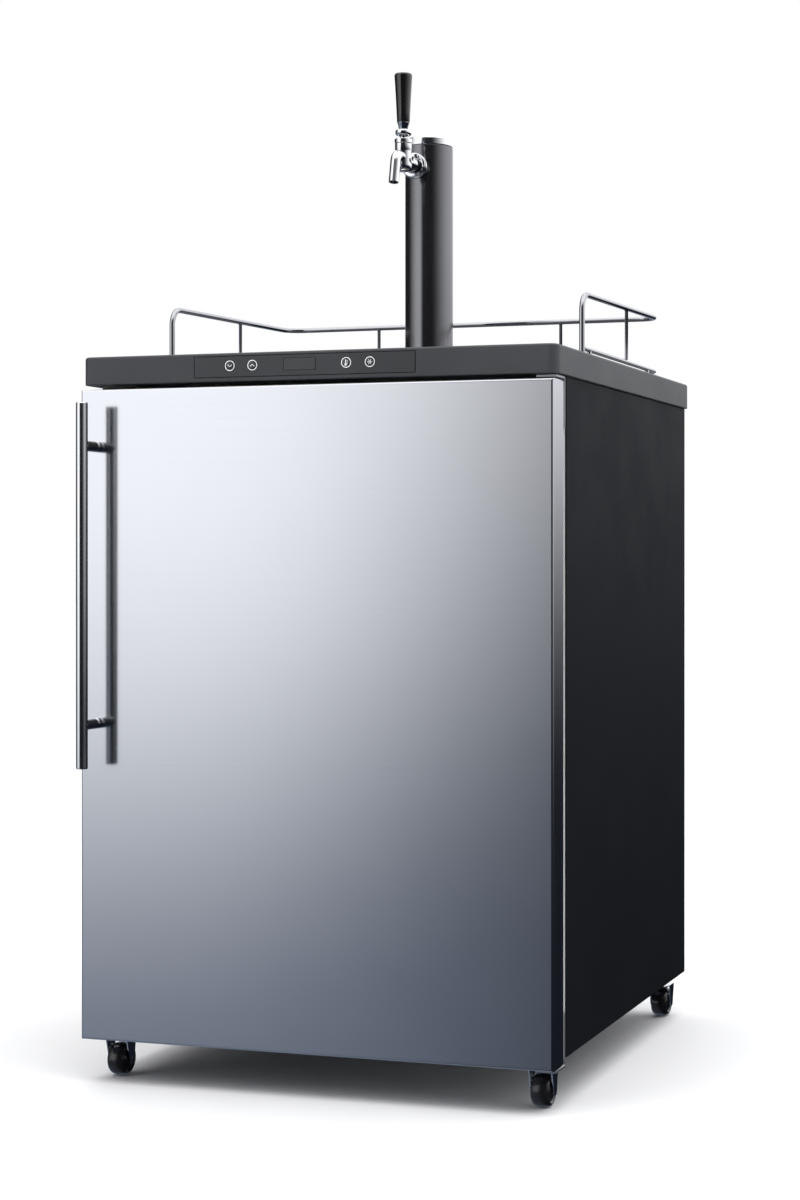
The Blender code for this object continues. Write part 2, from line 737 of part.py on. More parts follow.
# ---------------------------------------------------------------- door
def make_door():
    pivot = (*HINGE, 0)
    skin = piece(
        "door_skin",
        STAINLESS,
        block((-DOOR_X, DOOR_FRONT, DOOR_BOTTOM), (DOOR_X, DOOR_SEAM, DOOR_TOP)),
        pivot,
    )
    cut(
        skin,
        block(
            (DOOR_SKIN - DOOR_X, DOOR_FRONT + DOOR_SKIN, DOOR_BOTTOM + DOOR_SKIN),
            (DOOR_X - DOOR_SKIN, DOOR_SEAM + 0.01, DOOR_TOP - DOOR_SKIN),
        ),
    )
    edge = DOOR_X - 0.0005
    liner = piece(
        "door_liner",
        LINER_WHITE,
        block(
            (-edge, DOOR_SEAM + GAP, DOOR_BOTTOM + 0.0005), (edge, DOOR_BACK, DOOR_TOP - 0.0005)
        ),
        pivot,
    )
    inner = edge - SKIN
    cut(
        liner,
        block(
            (-inner, DOOR_SEAM - 0.01, DOOR_BOTTOM + 0.0005 + SKIN),
            (inner, DOOR_BACK - SKIN, DOOR_TOP - 0.0005 - SKIN),
        ),
    )
    foam_x = inner - GAP
    foam = piece(
        "door_foam",
        FOAM,
        block(
            (-foam_x, DOOR_FRONT + DOOR_SKIN + GAP, DOOR_BOTTOM + 0.0005 + SKIN + GAP),
            (foam_x, DOOR_BACK - SKIN - GAP, DOOR_TOP - 0.0005 - SKIN - GAP),
        ),
        pivot,
    )
    hole = PIN_RADIUS + 0.0005
    for low, high in ((0.04, 0.07), (0.816, 0.85)):
        cut(skin, pin(hole, low, high, (*HINGE, 0)))
        cut(foam, pin(hole, low, high, (*HINGE, 0)))

    margin = DOOR_X - GASKET_X
    gasket = piece(
        "door_gasket",
        GASKET,
        block(
            (-GASKET_X, DOOR_BACK + GAP, DOOR_BOTTOM + margin),
            (GASKET_X, FACE_Y - GAP, DOOR_TOP - margin),
        ),
        pivot,
    )
    cut(
        gasket,
        block(
            (GASKET_WIDTH - GASKET_X, DOOR_BACK - 0.01, DOOR_BOTTOM + margin + GASKET_WIDTH),
            (GASKET_X - GASKET_WIDTH, FACE_Y + 0.01, DOOR_TOP - margin - GASKET_WIDTH),
        ),
    )

    bar_axis = (HANDLE_X, HANDLE_Y, 0)
    low, high = HANDLE_Z
    profile = [
        (0, low),
        (HANDLE_RADIUS - 0.001, low),
        (HANDLE_RADIUS, low + 0.001),
        (HANDLE_RADIUS, high - 0.001),
        (HANDLE_RADIUS - 0.001, high),
        (0, high),
    ]
    piece("handle_bar", STAINLESS, turned(profile, bar_axis, steps=24), pivot)
    for name, z in zip(("handle_post_lower", "handle_post_upper"), POST_Z):
        post = piece(
            name,
            STAINLESS,
            pin(POST_RADIUS, HANDLE_Y + 0.003, DOOR_FRONT - GAP, (HANDLE_X, 0, z), "Y", 16),
            pivot,
        )
        cut(post, pin(HANDLE_RADIUS + GAP, z - 0.02, z + 0.02, bar_axis, steps=24))


def make_hinges():
    """Each hinge is a plate past the door's end, a leg on the cabinet's face and a pin in the door."""
    leg_x = (0.284, 0.296)
    leg_front = FACE_Y - GAP - 0.003
    plate_back = FACE_Y - GAP
    specs = (
        ("hinge_upper", WORKTOP_BOTTOM - GAP - 0.0035, WORKTOP_BOTTOM - GAP, 0.780, 0.820),
        ("hinge_lower", DOOR_BOTTOM - 0.005, DOOR_BOTTOM - 0.0015, 0.110, 0.066),
    )
    for name, low, high, leg_end, pin_end in specs:
        middle = (low + high) / 2
        plate = piece(name, ZINC, block((0.272, -0.272, low), (leg_x[1], plate_back, high)))
        leg = sorted((middle, leg_end))
        add(plate, block((leg_x[0], leg_front, leg[0]), (leg_x[1], plate_back, leg[1])))
        reach = sorted((middle, pin_end))
        add(plate, pin(PIN_RADIUS, reach[0], reach[1], (*HINGE, 0)))


# ---------------------------------------------------------------- machine compartment and cold space
def make_cooling():
    centre = Vector((0.10, 0.2775, 0))
    bottom = CABINET_BOTTOM + BASE_THICK + GAP
    profile = [
        (0, bottom),
        (0.060, bottom),
        (0.078, bottom + 0.018),
        (0.085, bottom + 0.045),
        (0.085, bottom + 0.090),
        (0.075, bottom + 0.118),
        (0.050, bottom + 0.134),
        (0, bottom + 0.140),
    ]
    shell = turned(profile, steps=20)
    bmesh.ops.scale(shell, vec=(1, 0.66, 1), verts=shell.verts)
    bmesh.ops.translate(shell, vec=centre, verts=shell.verts)
    piece("compressor", BLACK_PAINT, shell)

    back = REAR_FOAM_Y - GAP - SKIN - GAP
    cover = piece(
        "evaporator_cover",
        LINER_WHITE,
        block((-0.085, 0.268, 0.460), (0.235, back, 0.780), 0.004, 2),
    )
    for row in range(6):
        z = 0.500 + 0.022 * row
        cut(cover, block((0.020, 0.260, z), (0.130, 0.274, z + 0.008)))


def make_gas():
    hump_top = COMPARTMENT_TOP + HUMP_ROOF + GAP + SKIN
    x, y = CYLINDER
    axis = (x, y, 0)
    foot = hump_top + GAP
    cup = CYLINDER_RADIUS + 0.0028
    profile = [
        (0, foot),
        (cup, foot),
        (cup, foot + 0.040),
        (cup - 0.0023, foot + 0.040),
        (cup - 0.0023, foot + 0.002),
        (0, foot + 0.002),
    ]
    piece("cylinder_bracket", ZINC, turned(profile, axis))
    bottom = foot + 0.002 + GAP
    profile = [
        (0, bottom),
        (0.052, bottom),
        (0.062, bottom + 0.005),
        (CYLINDER_RADIUS, bottom + 0.015),
        (CYLINDER_RADIUS, 0.585),
        (0.060, 0.607),
        (0.044, 0.627),
        (0.022, 0.639),
        (0.014, 0.643),
        (0.014, 0.655),
        (0, 0.655),
    ]
    piece("co2_cylinder", ALUMINIUM, turned(profile, axis))

    seat = 0.655 + GAP
    profile = [
        (0, seat),
        (0.0130, seat),
        (0.0130, seat + 0.005),
        (0.0100, seat + 0.009),
        (0.0100, 0.700),
        (0.0045, 0.702),
        (0.0045, 0.713),
        (0, 0.713),
    ]
    valve = piece("cylinder_valve", BRASS, turned(profile, axis, steps=16))
    outlet = -0.140
    add(valve, pin(0.0085, x, outlet, (0, y, VALVE_Z), "X"))
    lobes = []
    for step in range(32):
        angle = 2 * math.pi * step / 32
        reach = 0.020 + 0.0018 * math.cos(8 * angle)
        lobes.append((x + reach * math.cos(angle), y + reach * math.sin(angle)))
    wheel = prism(lobes, "Z", 0.713 + GAP, 0.725)
    piece("valve_handwheel", BLACK_PLASTIC, wheel, (x, y, 0.713))

    centre = (REGULATOR_X, y, 0)
    profile = [
        (0, y - 0.020),
        (0.020, y - 0.020),
        (0.024, y - 0.014),
        (0.024, y + 0.016),
        (0.020, y + 0.020),
        (0, y + 0.020),
    ]
    body = piece("regulator", BRASS, turned(profile, (REGULATOR_X, 0, VALVE_Z), "Y"))
    add(body, pin(0.0115, outlet + GAP, REGULATOR_X - 0.015, (0, y, VALVE_Z), "X", 6))
    add(body, pin(0.0060, 0.640, VALVE_Z, centre, steps=12))
    port_top = VALVE_Z + 0.0265
    add(body, pin(0.0055, VALVE_Z, port_top, centre, steps=12))
    add(body, pin(0.0055, REGULATOR_X, REGULATOR_X + 0.0265, (0, y, VALVE_Z), "X", 12))
    gauges = {
        "pressure_gauge_line": (REGULATOR_X, port_top + GAP + GAUGE_RADIUS),
        "pressure_gauge_tank": (REGULATOR_X + 0.0265 + GAP + GAUGE_RADIUS, VALVE_Z),
    }
    for name, (gauge_x, gauge_z) in gauges.items():
        profile = [
            (0, y - 0.009),
            (GAUGE_RADIUS - 0.003, y - 0.009),
            (GAUGE_RADIUS - 0.003, y - 0.011),
            (GAUGE_RADIUS - 0.001, y - 0.011),
            (GAUGE_RADIUS, y - 0.009),
            (GAUGE_RADIUS, y + 0.009),
            (GAUGE_RADIUS - 0.002, y + 0.011),
            (0, y + 0.011),
        ]
        piece(name, GAUGE_FACE, turned(profile, (gauge_x, 0, gauge_z), "Y"))
    front = y - 0.045
    profile = [
        (0, front),
        (0.0115, front),
        (0.0130, front + 0.002),
        (0.0130, y - 0.020 - GAP),
        (0, y - 0.020 - GAP),
    ]
    knob = turned(profile, (REGULATOR_X, 0, VALVE_Z), "Y")
    piece("regulator_knob", BLACK_PLASTIC, knob, (REGULATOR_X, front, VALVE_Z))


def make_coupler():
    hump_top = COMPARTMENT_TOP + HUMP_ROOF + GAP + SKIN
    x, y = COUPLER
    foot = hump_top + GAP
    profile = [
        (0, foot),
        (0.0290, foot),
        (0.0290, foot + 0.015),
        (0.0230, foot + 0.019),
        (0.0200, foot + 0.021),
        (0.0200, foot + 0.046),
        (0.0120, foot + 0.051),
        (0.0120, foot + 0.090),
        (0.0075, foot + 0.095),
        (0.0075, 0.400),
        (0, 0.400),
    ]
    body = piece("keg_coupler", CHROME, turned(profile, (x, y, 0)))
    add(body, pin(0.0055, x - 0.0415, x - 0.012, (0, y, 0.328), "X", 12))
    arm = 0.0195
    slot = 0.0145
    front = y - 0.100
    outline = [
        (x - arm, y + 0.006),
        (x - arm, y - 0.029),
        (x - 0.010, y - 0.034),
        (x - 0.010, front + 0.004),
        (x - 0.006, front),
        (x + 0.006, front),
        (x + 0.010, front + 0.004),
        (x + 0.010, y - 0.034),
        (x + arm, y - 0.029),
        (x + arm, y + 0.006),
        (x + slot, y + 0.006),
        (x + slot, y - 0.021),
        (x - slot, y - 0.021),
        (x - slot, y + 0.006),
    ]
    lever = prism(outline, "Z", COUPLER_PIVOT - 0.005, COUPLER_PIVOT + 0.005)
    piece("coupler_lever", BLACK_PLASTIC, lever, (x, y, COUPLER_PIVOT))


def make_lines():
    x, y = COUPLER
    elbow_end = SHANK_Z - 0.022 - GAP
    line(
        "beer_line",
        LINE_CLEAR,
        [
            (0, 0.126, elbow_end),
            (0, 0.125, 1.05),
            (0, 0.121, 0.95),
            (0, 0.119, 0.86),
            (0.008, 0.126, 0.80),
            (0.050, 0.165, 0.735),
            (0.120, 0.212, 0.660),
            (0.155, 0.232, 0.560),
            (x, y, 0.460),
            (x, y, 0.400 + GAP),
        ],
    )
    gas_y = CYLINDER[1]
    line(
        "gas_line",
        LINE_RED,
        [
            (REGULATOR_X, gas_y, 0.640 - GAP),
            (REGULATOR_X, gas_y, 0.580),
            (-0.098, 0.222, 0.450),
            (-0.094, 0.226, 0.370),
            (-0.075, 0.232, 0.318),
            (-0.030, 0.238, 0.297),
            (0.030, 0.240, 0.297),
            (0.070, 0.238, 0.307),
            (0.090, 0.236, 0.324),
            (x - 0.0560, y, 0.328),
            (x - 0.0425, y, 0.328),
        ],
    )


# ---------------------------------------------------------------- casters
def make_casters():
    bridge_low = 0.0422
    bridge_high = 0.0457
    inner = 0.0128
    outer = 0.0145
    flat_radius = WHEEL_RADIUS / math.cos(math.pi / WHEEL_STEPS)
    tread = [(0.0034, 0.0118), (0.0080, 0.0118), (0.0095, 0.0095), (0.0130, 0.0095)]
    tread += [(0.0150, 0.0115), (0.0185, 0.0085), (flat_radius, 0.0040)]
    profile = [(radius, -height) for radius, height in tread]
    profile += tread[::-1]
    for corner, (x, y) in CASTERS.items():
        neck = [
            (0, bridge_low + 0.001),
            (0.0105, bridge_low + 0.001),
            (0.0105, CABINET_BOTTOM - 0.001),
            (0.0055, CABINET_BOTTOM - 0.001),
            (0.0055, CABINET_BOTTOM + BASE_THICK - 0.0005),
            (0, CABINET_BOTTOM + BASE_THICK - 0.0005),
        ]
        name = f"caster_fork_{corner}"
        fork = piece(name, CHROME, turned(neck, (x, y, 0), steps=16), (x, y, CABINET_BOTTOM))
        # Each wheel trails towards the nearer end of the cabinet.
        outward = 1 if y > 0 else -1
        bridge_y = sorted((y - outward * 0.0110, y + outward * 0.0220))
        add(fork, block((x - outer, bridge_y[0], bridge_low), (x + outer, bridge_y[1], bridge_high)))
        axle_y = y + outward * TRAIL
        side = [
            (y - outward * 0.006, bridge_low + 0.001),
            (axle_y - outward * 0.006, WHEEL_RADIUS),
            (axle_y - outward * 0.003, WHEEL_RADIUS - 0.006),
            (axle_y + outward * 0.003, WHEEL_RADIUS - 0.006),
            (axle_y + outward * 0.006, WHEEL_RADIUS),
            (axle_y + outward * 0.006, bridge_low + 0.001),
        ]
        if outward < 0:
            side = side[::-1]
        for low, high in ((x - outer, x - inner), (x + inner, x + outer)):
            add(fork, prism(side, "X", low, high))
        add(fork, pin(AXLE_RADIUS, x - outer, x + outer, (0, axle_y, WHEEL_RADIUS), "X", 12))
        hub = (x, axle_y, WHEEL_RADIUS)
        wheel = turned(profile, steps=WHEEL_STEPS)
        half_step = Matrix.Rotation(math.pi / WHEEL_STEPS, 3, "Z")
        bmesh.ops.rotate(wheel, matrix=half_step, verts=wheel.verts)
        bmesh.ops.rotate(wheel, matrix=Matrix.Rotation(math.pi / 2, 3, "Y"), verts=wheel.verts)
        bmesh.ops.translate(wheel, vec=hub, verts=wheel.verts)
        piece(f"caster_wheel_{corner}", RUBBER, wheel, hub)


def main():
    for old in list(bpy.data.objects):
        bpy.data.objects.remove(old)
    make_cabinet()
    make_worktop()
    make_controls()
    make_drip_tray()
    make_tower()
    make_faucet()
    make_rail()
    make_door()
    make_hinges()
    make_cooling()
    make_gas()
    make_coupler()
    make_lines()
    make_casters()


main()
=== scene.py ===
# %% [markdown]
# # A kegerator, finished piece by piece
# The imported model is the fixed frame: every node is in metres, at its real place.
# It is loaded first, and the boxes of its nodes give the sizes of many pieces below.
# Nothing modelled here may be larger.

# %% Load the frame
import json
import math

import bmesh
import bpy
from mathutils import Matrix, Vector


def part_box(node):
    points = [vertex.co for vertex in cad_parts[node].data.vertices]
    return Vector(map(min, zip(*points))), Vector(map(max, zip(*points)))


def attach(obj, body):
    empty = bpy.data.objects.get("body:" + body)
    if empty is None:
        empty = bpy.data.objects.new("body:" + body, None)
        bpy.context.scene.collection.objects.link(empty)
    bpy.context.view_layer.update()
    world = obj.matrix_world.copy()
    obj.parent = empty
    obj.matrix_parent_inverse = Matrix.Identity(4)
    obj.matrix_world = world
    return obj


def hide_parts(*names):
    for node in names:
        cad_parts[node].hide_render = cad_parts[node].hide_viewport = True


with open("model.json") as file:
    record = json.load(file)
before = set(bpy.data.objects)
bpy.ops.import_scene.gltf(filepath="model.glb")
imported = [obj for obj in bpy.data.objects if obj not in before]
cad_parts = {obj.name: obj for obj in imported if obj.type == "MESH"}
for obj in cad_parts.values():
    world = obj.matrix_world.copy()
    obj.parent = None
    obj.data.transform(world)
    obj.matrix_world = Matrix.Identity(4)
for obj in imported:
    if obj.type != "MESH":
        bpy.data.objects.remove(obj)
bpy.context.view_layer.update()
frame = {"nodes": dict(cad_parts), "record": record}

print("nodes:", len(frame["nodes"]))

# %% [markdown]
# ## Camera
# A long lens held level, at about half height, shows the front and the right side.
# The lens points along the floor and is not tilted, so upright edges stay upright.

# %% Camera
CAMERA_PLACE = (1.0363, -2.7170, 0.6243)
CAMERA_TURN = 0.3101

bpy.ops.object.camera_add(location=CAMERA_PLACE, rotation=(math.pi / 2, 0, CAMERA_TURN))
camera = bpy.context.object
camera.name = "main_camera"
camera.data.lens = 67.7
camera.data.sensor_width = 36
camera.data.shift_x = -0.1
camera.data.shift_y = -0.03
bpy.context.scene.camera = camera
print("lens", camera.data.lens)

# %% [markdown]
# ## Light
# Brushed steel and chrome show the room more than they show their own colour.
# So the room is built first: one large softbox to the front left, bright walls at the
# sides and the back, a dark space behind the camera, and a soft ceiling. The world
# shader mixes them by direction, and the camera itself sees plain white behind the object.

# %% World as a studio
# All in degrees: turn is 0 at the front and grows to the right, and rise is 0 at eye level.
SOFTBOX = (-9.7, -25.4)
SOFTBOX_END = (-95.0, -36.0)
RIGHT_WALL = (30.0, 125.0)
BACK_WALL = (138.0, 158.0)
BACK_GLOW = (-9.0, 7.0)
CEILING = (28.0, 62.0)
SKYLINE = (-13.0, 2.5)
SKYLINE_SLANT = (-27.0, -13.0, 0.0, 6.5)

world = bpy.data.worlds.new("studio")
bpy.context.scene.world = world
world.use_nodes = True
room = world.node_tree
room.nodes.clear()


def plug(tree, socket, value):
    """Links an input to an output socket, or sets it to a number or a colour."""
    if isinstance(value, bpy.types.NodeSocket):
        tree.links.new(value, socket)
    else:
        socket.default_value = value


def node(tree, kind, **values):
    """Adds a node, and sets its inputs by name and its properties by lower-case name."""
    made = tree.nodes.new(kind)
    for name, value in values.items():
        if hasattr(made, name):
            setattr(made, name, value)
        else:
            plug(tree, made.inputs[name.replace("_", " ")], value)
    return made


def sum_of(tree, operation, first, second=0.0, third=0.0, clamp=False):
    """One math node on sockets or numbers."""
    made = tree.nodes.new("ShaderNodeMath")
    made.operation = operation
    made.use_clamp = clamp
    for place, value in enumerate((first, second, third)):
        plug(tree, made.inputs[place], value)
    return made.outputs[0]


def ramp(tree, value, start, end, low=0.0, high=1.0):
    """A smooth rise from low to high as the value goes from start to end."""
    made = node(
        tree, "ShaderNodeMapRange", interpolation_type="SMOOTHSTEP", Value=value,
        From_Min=start, From_Max=end, To_Min=low, To_Max=high,
    )
    return made.outputs[0]


def mixed(tree, factor, first, second):
    """Mixes two colours, each a socket or four numbers."""
    made = tree.nodes.new("ShaderNodeMix")
    made.data_type = "RGBA"
    for place, value in ((0, factor), (6, first), (7, second)):
        plug(tree, made.inputs[place], value)
    return made.outputs[2]


place = room.nodes.new("ShaderNodeTexCoord")
axes = node(room, "ShaderNodeSeparateXYZ", Vector=place.outputs["Generated"])
turn = sum_of(room, "ARCTAN2", axes.outputs[0], sum_of(room, "MULTIPLY", axes.outputs[1], -1))
turn = sum_of(room, "MULTIPLY", turn, 180 / math.pi)
rise = sum_of(room, "MULTIPLY", sum_of(room, "ARCSINE", axes.outputs[2]), 180 / math.pi)

left_edge = ramp(room, turn, *SOFTBOX)
softbox = sum_of(room, "MULTIPLY", left_edge, ramp(room, turn, *SOFTBOX_END))
right_wall = ramp(room, turn, *RIGHT_WALL)
back_wall = ramp(room, sum_of(room, "ABSOLUTE", turn), *BACK_WALL)
back_glow = ramp(room, rise, *BACK_GLOW)
ceiling = ramp(room, rise, *CEILING)
slant = ramp(room, turn, *SKYLINE_SLANT)
upper = ramp(room, sum_of(room, "SUBTRACT", rise, slant), *SKYLINE)

walls = mixed(room, softbox, (0.022, 0.023, 0.026, 1), (1.43, 1.44, 1.47, 1))
walls = mixed(room, right_wall, walls, (1.35, 1.36, 1.38, 1))
back_colour = mixed(room, back_glow, (0.05, 0.054, 0.065, 1), (1.15, 1.16, 1.20, 1))
walls = mixed(room, back_wall, walls, back_colour)
below = mixed(room, left_edge, (0.008, 0.010, 0.016, 1), (0.172, 0.204, 0.268, 1))
walls = mixed(room, upper, below, walls)
walls = mixed(room, ceiling, walls, (1.70, 1.70, 1.70, 1))
seen = room.nodes.new("ShaderNodeLightPath")
walls = mixed(room, seen.outputs["Is Camera Ray"], walls, (1, 1, 1, 1))
background = node(room, "ShaderNodeBackground", Color=walls, Strength=1.0)
node(room, "ShaderNodeOutputWorld", Surface=background.outputs[0])
print("studio nodes:", len(room.nodes))

# %% [markdown]
# One wide lamp overhead makes the soft shadow under the cabinet. The floor is a broad
# pale sheet. It takes light and shadow, but it is kept out of mirror reflections, so the
# lower half of the steel door stays as dark as in a studio with a dark foreground.

# %% Lamp, floor and tone of the result
bpy.ops.object.light_add(type="AREA", location=(0.3, -0.6, 3.4), rotation=(0.15, 0.05, 0))
lamp = bpy.context.object
lamp.name = "overhead_lamp"
lamp.data.shape = "RECTANGLE"
lamp.data.size = 3.2
lamp.data.size_y = 2.6
lamp.data.energy = 60
lamp.visible_camera = False
lamp.visible_glossy = False

bpy.ops.mesh.primitive_plane_add(size=60, location=(0, 0, 0))
floor = bpy.context.object
floor.name = "studio_floor"
floor.visible_glossy = False

scene = bpy.context.scene
scene.view_settings.view_transform = "Standard"
scene.view_settings.look = "None"
print("floor and lamp are in place")

# %% [markdown]
# ## Effects that many finishes share
# Three node groups are built once. `fine_grain` gives the pebble of a moulded or painted
# skin as a height. `brush_marks` gives long thin scratches. `handling` gives broad, faint
# patches for smudges and uneven gloss. Each material then sets its own scale and strength.

# %% Shared node groups


def group(name, inputs, outputs):
    """A new node group with float inputs and outputs, and the two end nodes."""
    tree = bpy.data.node_groups.new(name, "ShaderNodeTree")
    for title, value in inputs:
        kind = "NodeSocketVector" if title == "Vector" else "NodeSocketFloat"
        socket = tree.interface.new_socket(name=title, in_out="INPUT", socket_type=kind)
        if value is not None:
            socket.default_value = value
    for title in outputs:
        tree.interface.new_socket(name=title, in_out="OUTPUT", socket_type="NodeSocketFloat")
    return tree, tree.nodes.new("NodeGroupInput"), tree.nodes.new("NodeGroupOutput")


grain_tree, given, taken = group("fine_grain", [("Vector", None), ("Scale", 900.0)], ["Height"])
cells = node(grain_tree, "ShaderNodeTexVoronoi", Vector=given.outputs[0], Scale=given.outputs[1])
half_scale = sum_of(grain_tree, "MULTIPLY", given.outputs[1], 0.45)
rough = node(grain_tree, "ShaderNodeTexNoise", Vector=given.outputs[0], Scale=half_scale, Detail=4.0)
height = sum_of(grain_tree, "MULTIPLY_ADD", cells.outputs["Distance"], 0.6, rough.outputs[0])
grain_tree.links.new(height, taken.inputs[0])

brush_tree, given, taken = group("brush_marks", [("Vector", None), ("Fine", 1.0)], ["Marks", "Bands"])
wide = node(
    brush_tree, "ShaderNodeTexNoise", Vector=given.outputs[0], Scale=1.0, Detail=5.0, Roughness=0.72
)
slow = node(brush_tree, "ShaderNodeTexNoise", Vector=given.outputs[0], Scale=0.12, Detail=2.0)
marks = sum_of(brush_tree, "MULTIPLY", wide.outputs[0], given.outputs[1])
brush_tree.links.new(marks, taken.inputs[0])
brush_tree.links.new(slow.outputs[0], taken.inputs[1])

touch_tree, given, taken = group("handling", [("Vector", None), ("Scale", 9.0)], ["Mask", "Dust"])
patch = node(touch_tree, "ShaderNodeTexNoise", Vector=given.outputs[0], Scale=given.outputs[1], Detail=3.0)
tenfold = sum_of(touch_tree, "MULTIPLY", given.outputs[1], 40.0)
specks = node(touch_tree, "ShaderNodeTexNoise", Vector=given.outputs[0], Scale=tenfold, Detail=2.0)
touch_tree.links.new(ramp(touch_tree, patch.outputs[0], 0.35, 0.68), taken.inputs[0])
touch_tree.links.new(ramp(touch_tree, specks.outputs[0], 0.66, 0.78), taken.inputs[1])
print("groups:", [g.name for g in bpy.data.node_groups])

# %% [markdown]
# ## One recipe for a finish
# Every finish starts from the same recipe: a base colour that wanders a little, a gloss
# that changes where hands and cloths have been, and a fine relief. The numbers make it
# paint, plastic, rubber or metal. A number that is the same all over goes straight on the
# shader's own socket.

# %% Recipe
finishes = {}


def shade(colour, gain):
    return tuple(min(1.0, part * gain) for part in colour) + (1.0,)


def finish_of(
    name, colour, roughness, metallic=0.0, grain=0.0, grain_size=900.0, wander=0.12,
    gloss_change=0.06, brush=None, brush_depth=0.0, relief=0.00006, **constants
):
    """A named material: brush is the stretch of its scratches along X, Y and Z."""
    made = bpy.data.materials.new(name)
    made.use_nodes = True
    tree = made.node_tree
    tree.nodes.clear()
    shader = node(tree, "ShaderNodeBsdfPrincipled", Metallic=metallic, **constants)
    end = tree.nodes.new("ShaderNodeOutputMaterial")
    tree.links.new(shader.outputs[0], end.inputs[0])
    where = tree.nodes.new("ShaderNodeTexCoord").outputs["Object"]
    smudge = node(tree, "ShaderNodeGroup", node_tree=touch_tree, Vector=where)
    base = mixed(tree, smudge.outputs["Mask"], shade(colour, 1 - wander), shade(colour, 1 + wander))
    gloss = sum_of(tree, "MULTIPLY_ADD", smudge.outputs["Mask"], gloss_change, roughness)
    height = None
    if brush:
        stretch = node(tree, "ShaderNodeMapping", Vector=where, Scale=brush)
        lines = node(tree, "ShaderNodeGroup", node_tree=brush_tree, Vector=stretch.outputs[0])
        light, deep = shade(colour, 1 + wander), shade(colour, 1 - wander)
        base = mixed(tree, ramp(tree, lines.outputs["Marks"], 0.36, 0.64), deep, light)
        lift = sum_of(tree, "MULTIPLY_ADD", lines.outputs["Marks"], brush_depth, gloss)
        gloss = sum_of(tree, "SUBTRACT", lift, brush_depth / 2)
        height = lines.outputs["Marks"]
    if grain:
        pebble = node(tree, "ShaderNodeGroup", node_tree=grain_tree, Vector=where, Scale=grain_size)
        height = pebble.outputs["Height"]
    if height:
        strength = grain or 0.25
        bump = node(tree, "ShaderNodeBump", Height=height, Strength=strength, Distance=relief)
        tree.links.new(bump.outputs[0], shader.inputs["Normal"])
    tree.links.new(base, shader.inputs["Base Color"])
    tree.links.new(gloss, shader.inputs["Roughness"])
    made.diffuse_color = shade(colour, 1)
    finishes[name] = made
    return made


# %% [markdown]
# ## Finishes
# The door is stainless steel with a fine horizontal brush. Such a surface spreads a
# reflection up and down across its scratches, and that is what anisotropy does. The
# cabinet sides are dark sheet with a baked powder coat, the lid and tower are black, and
# the fittings are chrome or zinc. Inside are white liner, brass, aluminium and hoses.

# %% Steel and chrome
finish_of(
    "door_steel", (0.64, 0.652, 0.68), 0.14, 1.0, wander=0.012, gloss_change=0.008,
    brush=(4.0, 4.0, 1100.0), brush_depth=0.03, relief=0.000003,
    Anisotropic=0.35, Anisotropic_Rotation=0.25,
)
finish_of(
    "steel_trim", (0.80, 0.81, 0.82), 0.12, 1.0, wander=0.03, brush=(500, 500, 8), brush_depth=0.05
)
finish_of("chrome", (0.84, 0.845, 0.86), 0.045, 1.0, wander=0.015, gloss_change=0.03)
finish_of("rail_chrome", (0.46, 0.465, 0.48), 0.07, 1.0, wander=0.01)
finish_of("plain_steel", (0.55, 0.56, 0.57), 0.24, 1.0, wander=0.05, brush=(300, 6, 300), brush_depth=0.08)
finish_of("zinc", (0.56, 0.57, 0.58), 0.36, 1.0, wander=0.09, grain=0.25, grain_size=260, relief=0.0001)
finish_of("galvanised", (0.50, 0.52, 0.54), 0.40, 1.0, wander=0.04, grain=0.3, grain_size=110, relief=0.0001)
finish_of(
    "cylinder_aluminium", (0.66, 0.67, 0.68), 0.33, 1.0, wander=0.05, brush=(120, 120, 700), brush_depth=0.12
)
finish_of("brass", (0.70, 0.52, 0.24), 0.25, 1.0, wander=0.08, grain=0.12, grain_size=500)

# %% Paint, plastic and rubber
finish_of(
    "side_paint", (0.0075, 0.0090, 0.0118), 0.42, grain=0.35, grain_size=650, relief=0.00008,
    wander=0.03, Specular_IOR_Level=0.03,
)
finish_of("painted_frame", (0.016, 0.017, 0.020), 0.42, grain=0.3, grain_size=600, relief=0.00008)
finish_of(
    "worktop_black", (0.047, 0.049, 0.054), 0.42, grain=0.45, grain_size=520, relief=0.00012,
    wander=0.08, Specular_IOR_Level=0.4,
)
finish_of("tower_black", (0.19, 0.19, 0.20), 0.15, 0.95, gloss_change=0.02, wander=0.02)
finish_of("tap_black", (0.006, 0.006, 0.0065), 0.09, gloss_change=0.03, Coat_Weight=0.6, Coat_Roughness=0.03)
finish_of("gloss_black", (0.034, 0.036, 0.040), 0.34, gloss_change=0.04, Specular_IOR_Level=0.45)
finish_of("smoked_window", (0.030, 0.031, 0.034), 0.24, gloss_change=0.02)
finish_of("key_face", (0.036, 0.038, 0.041), 0.30, gloss_change=0.04)
finish_of("key_mark", (0.95, 0.96, 0.97), 0.45, wander=0.04)
finish_of("black_plastic", (0.020, 0.020, 0.022), 0.40, grain=0.4, grain_size=700)
finish_of("compressor_black", (0.014, 0.014, 0.015), 0.30, grain=0.15, grain_size=300, gloss_change=0.12)
finish_of(
    "white_plastic", (0.78, 0.79, 0.80), 0.34, grain=0.12, grain_size=500, wander=0.02,
    Subsurface_Weight=0.05, Subsurface_Scale=0.003,
)
finish_of("seal_grey", (0.20, 0.20, 0.21), 0.58, grain=0.3, grain_size=500)
finish_of("foam", (0.80, 0.74, 0.52), 0.95, grain=0.8, grain_size=240, relief=0.0006)
finish_of("gauge_face", (0.86, 0.86, 0.84), 0.40, wander=0.02)
finish_of("gauge_mark", (0.02, 0.02, 0.022), 0.45)
finish_of("red_hose", (0.42, 0.018, 0.020), 0.30, wander=0.10, Coat_Weight=0.3, Coat_Roughness=0.1)
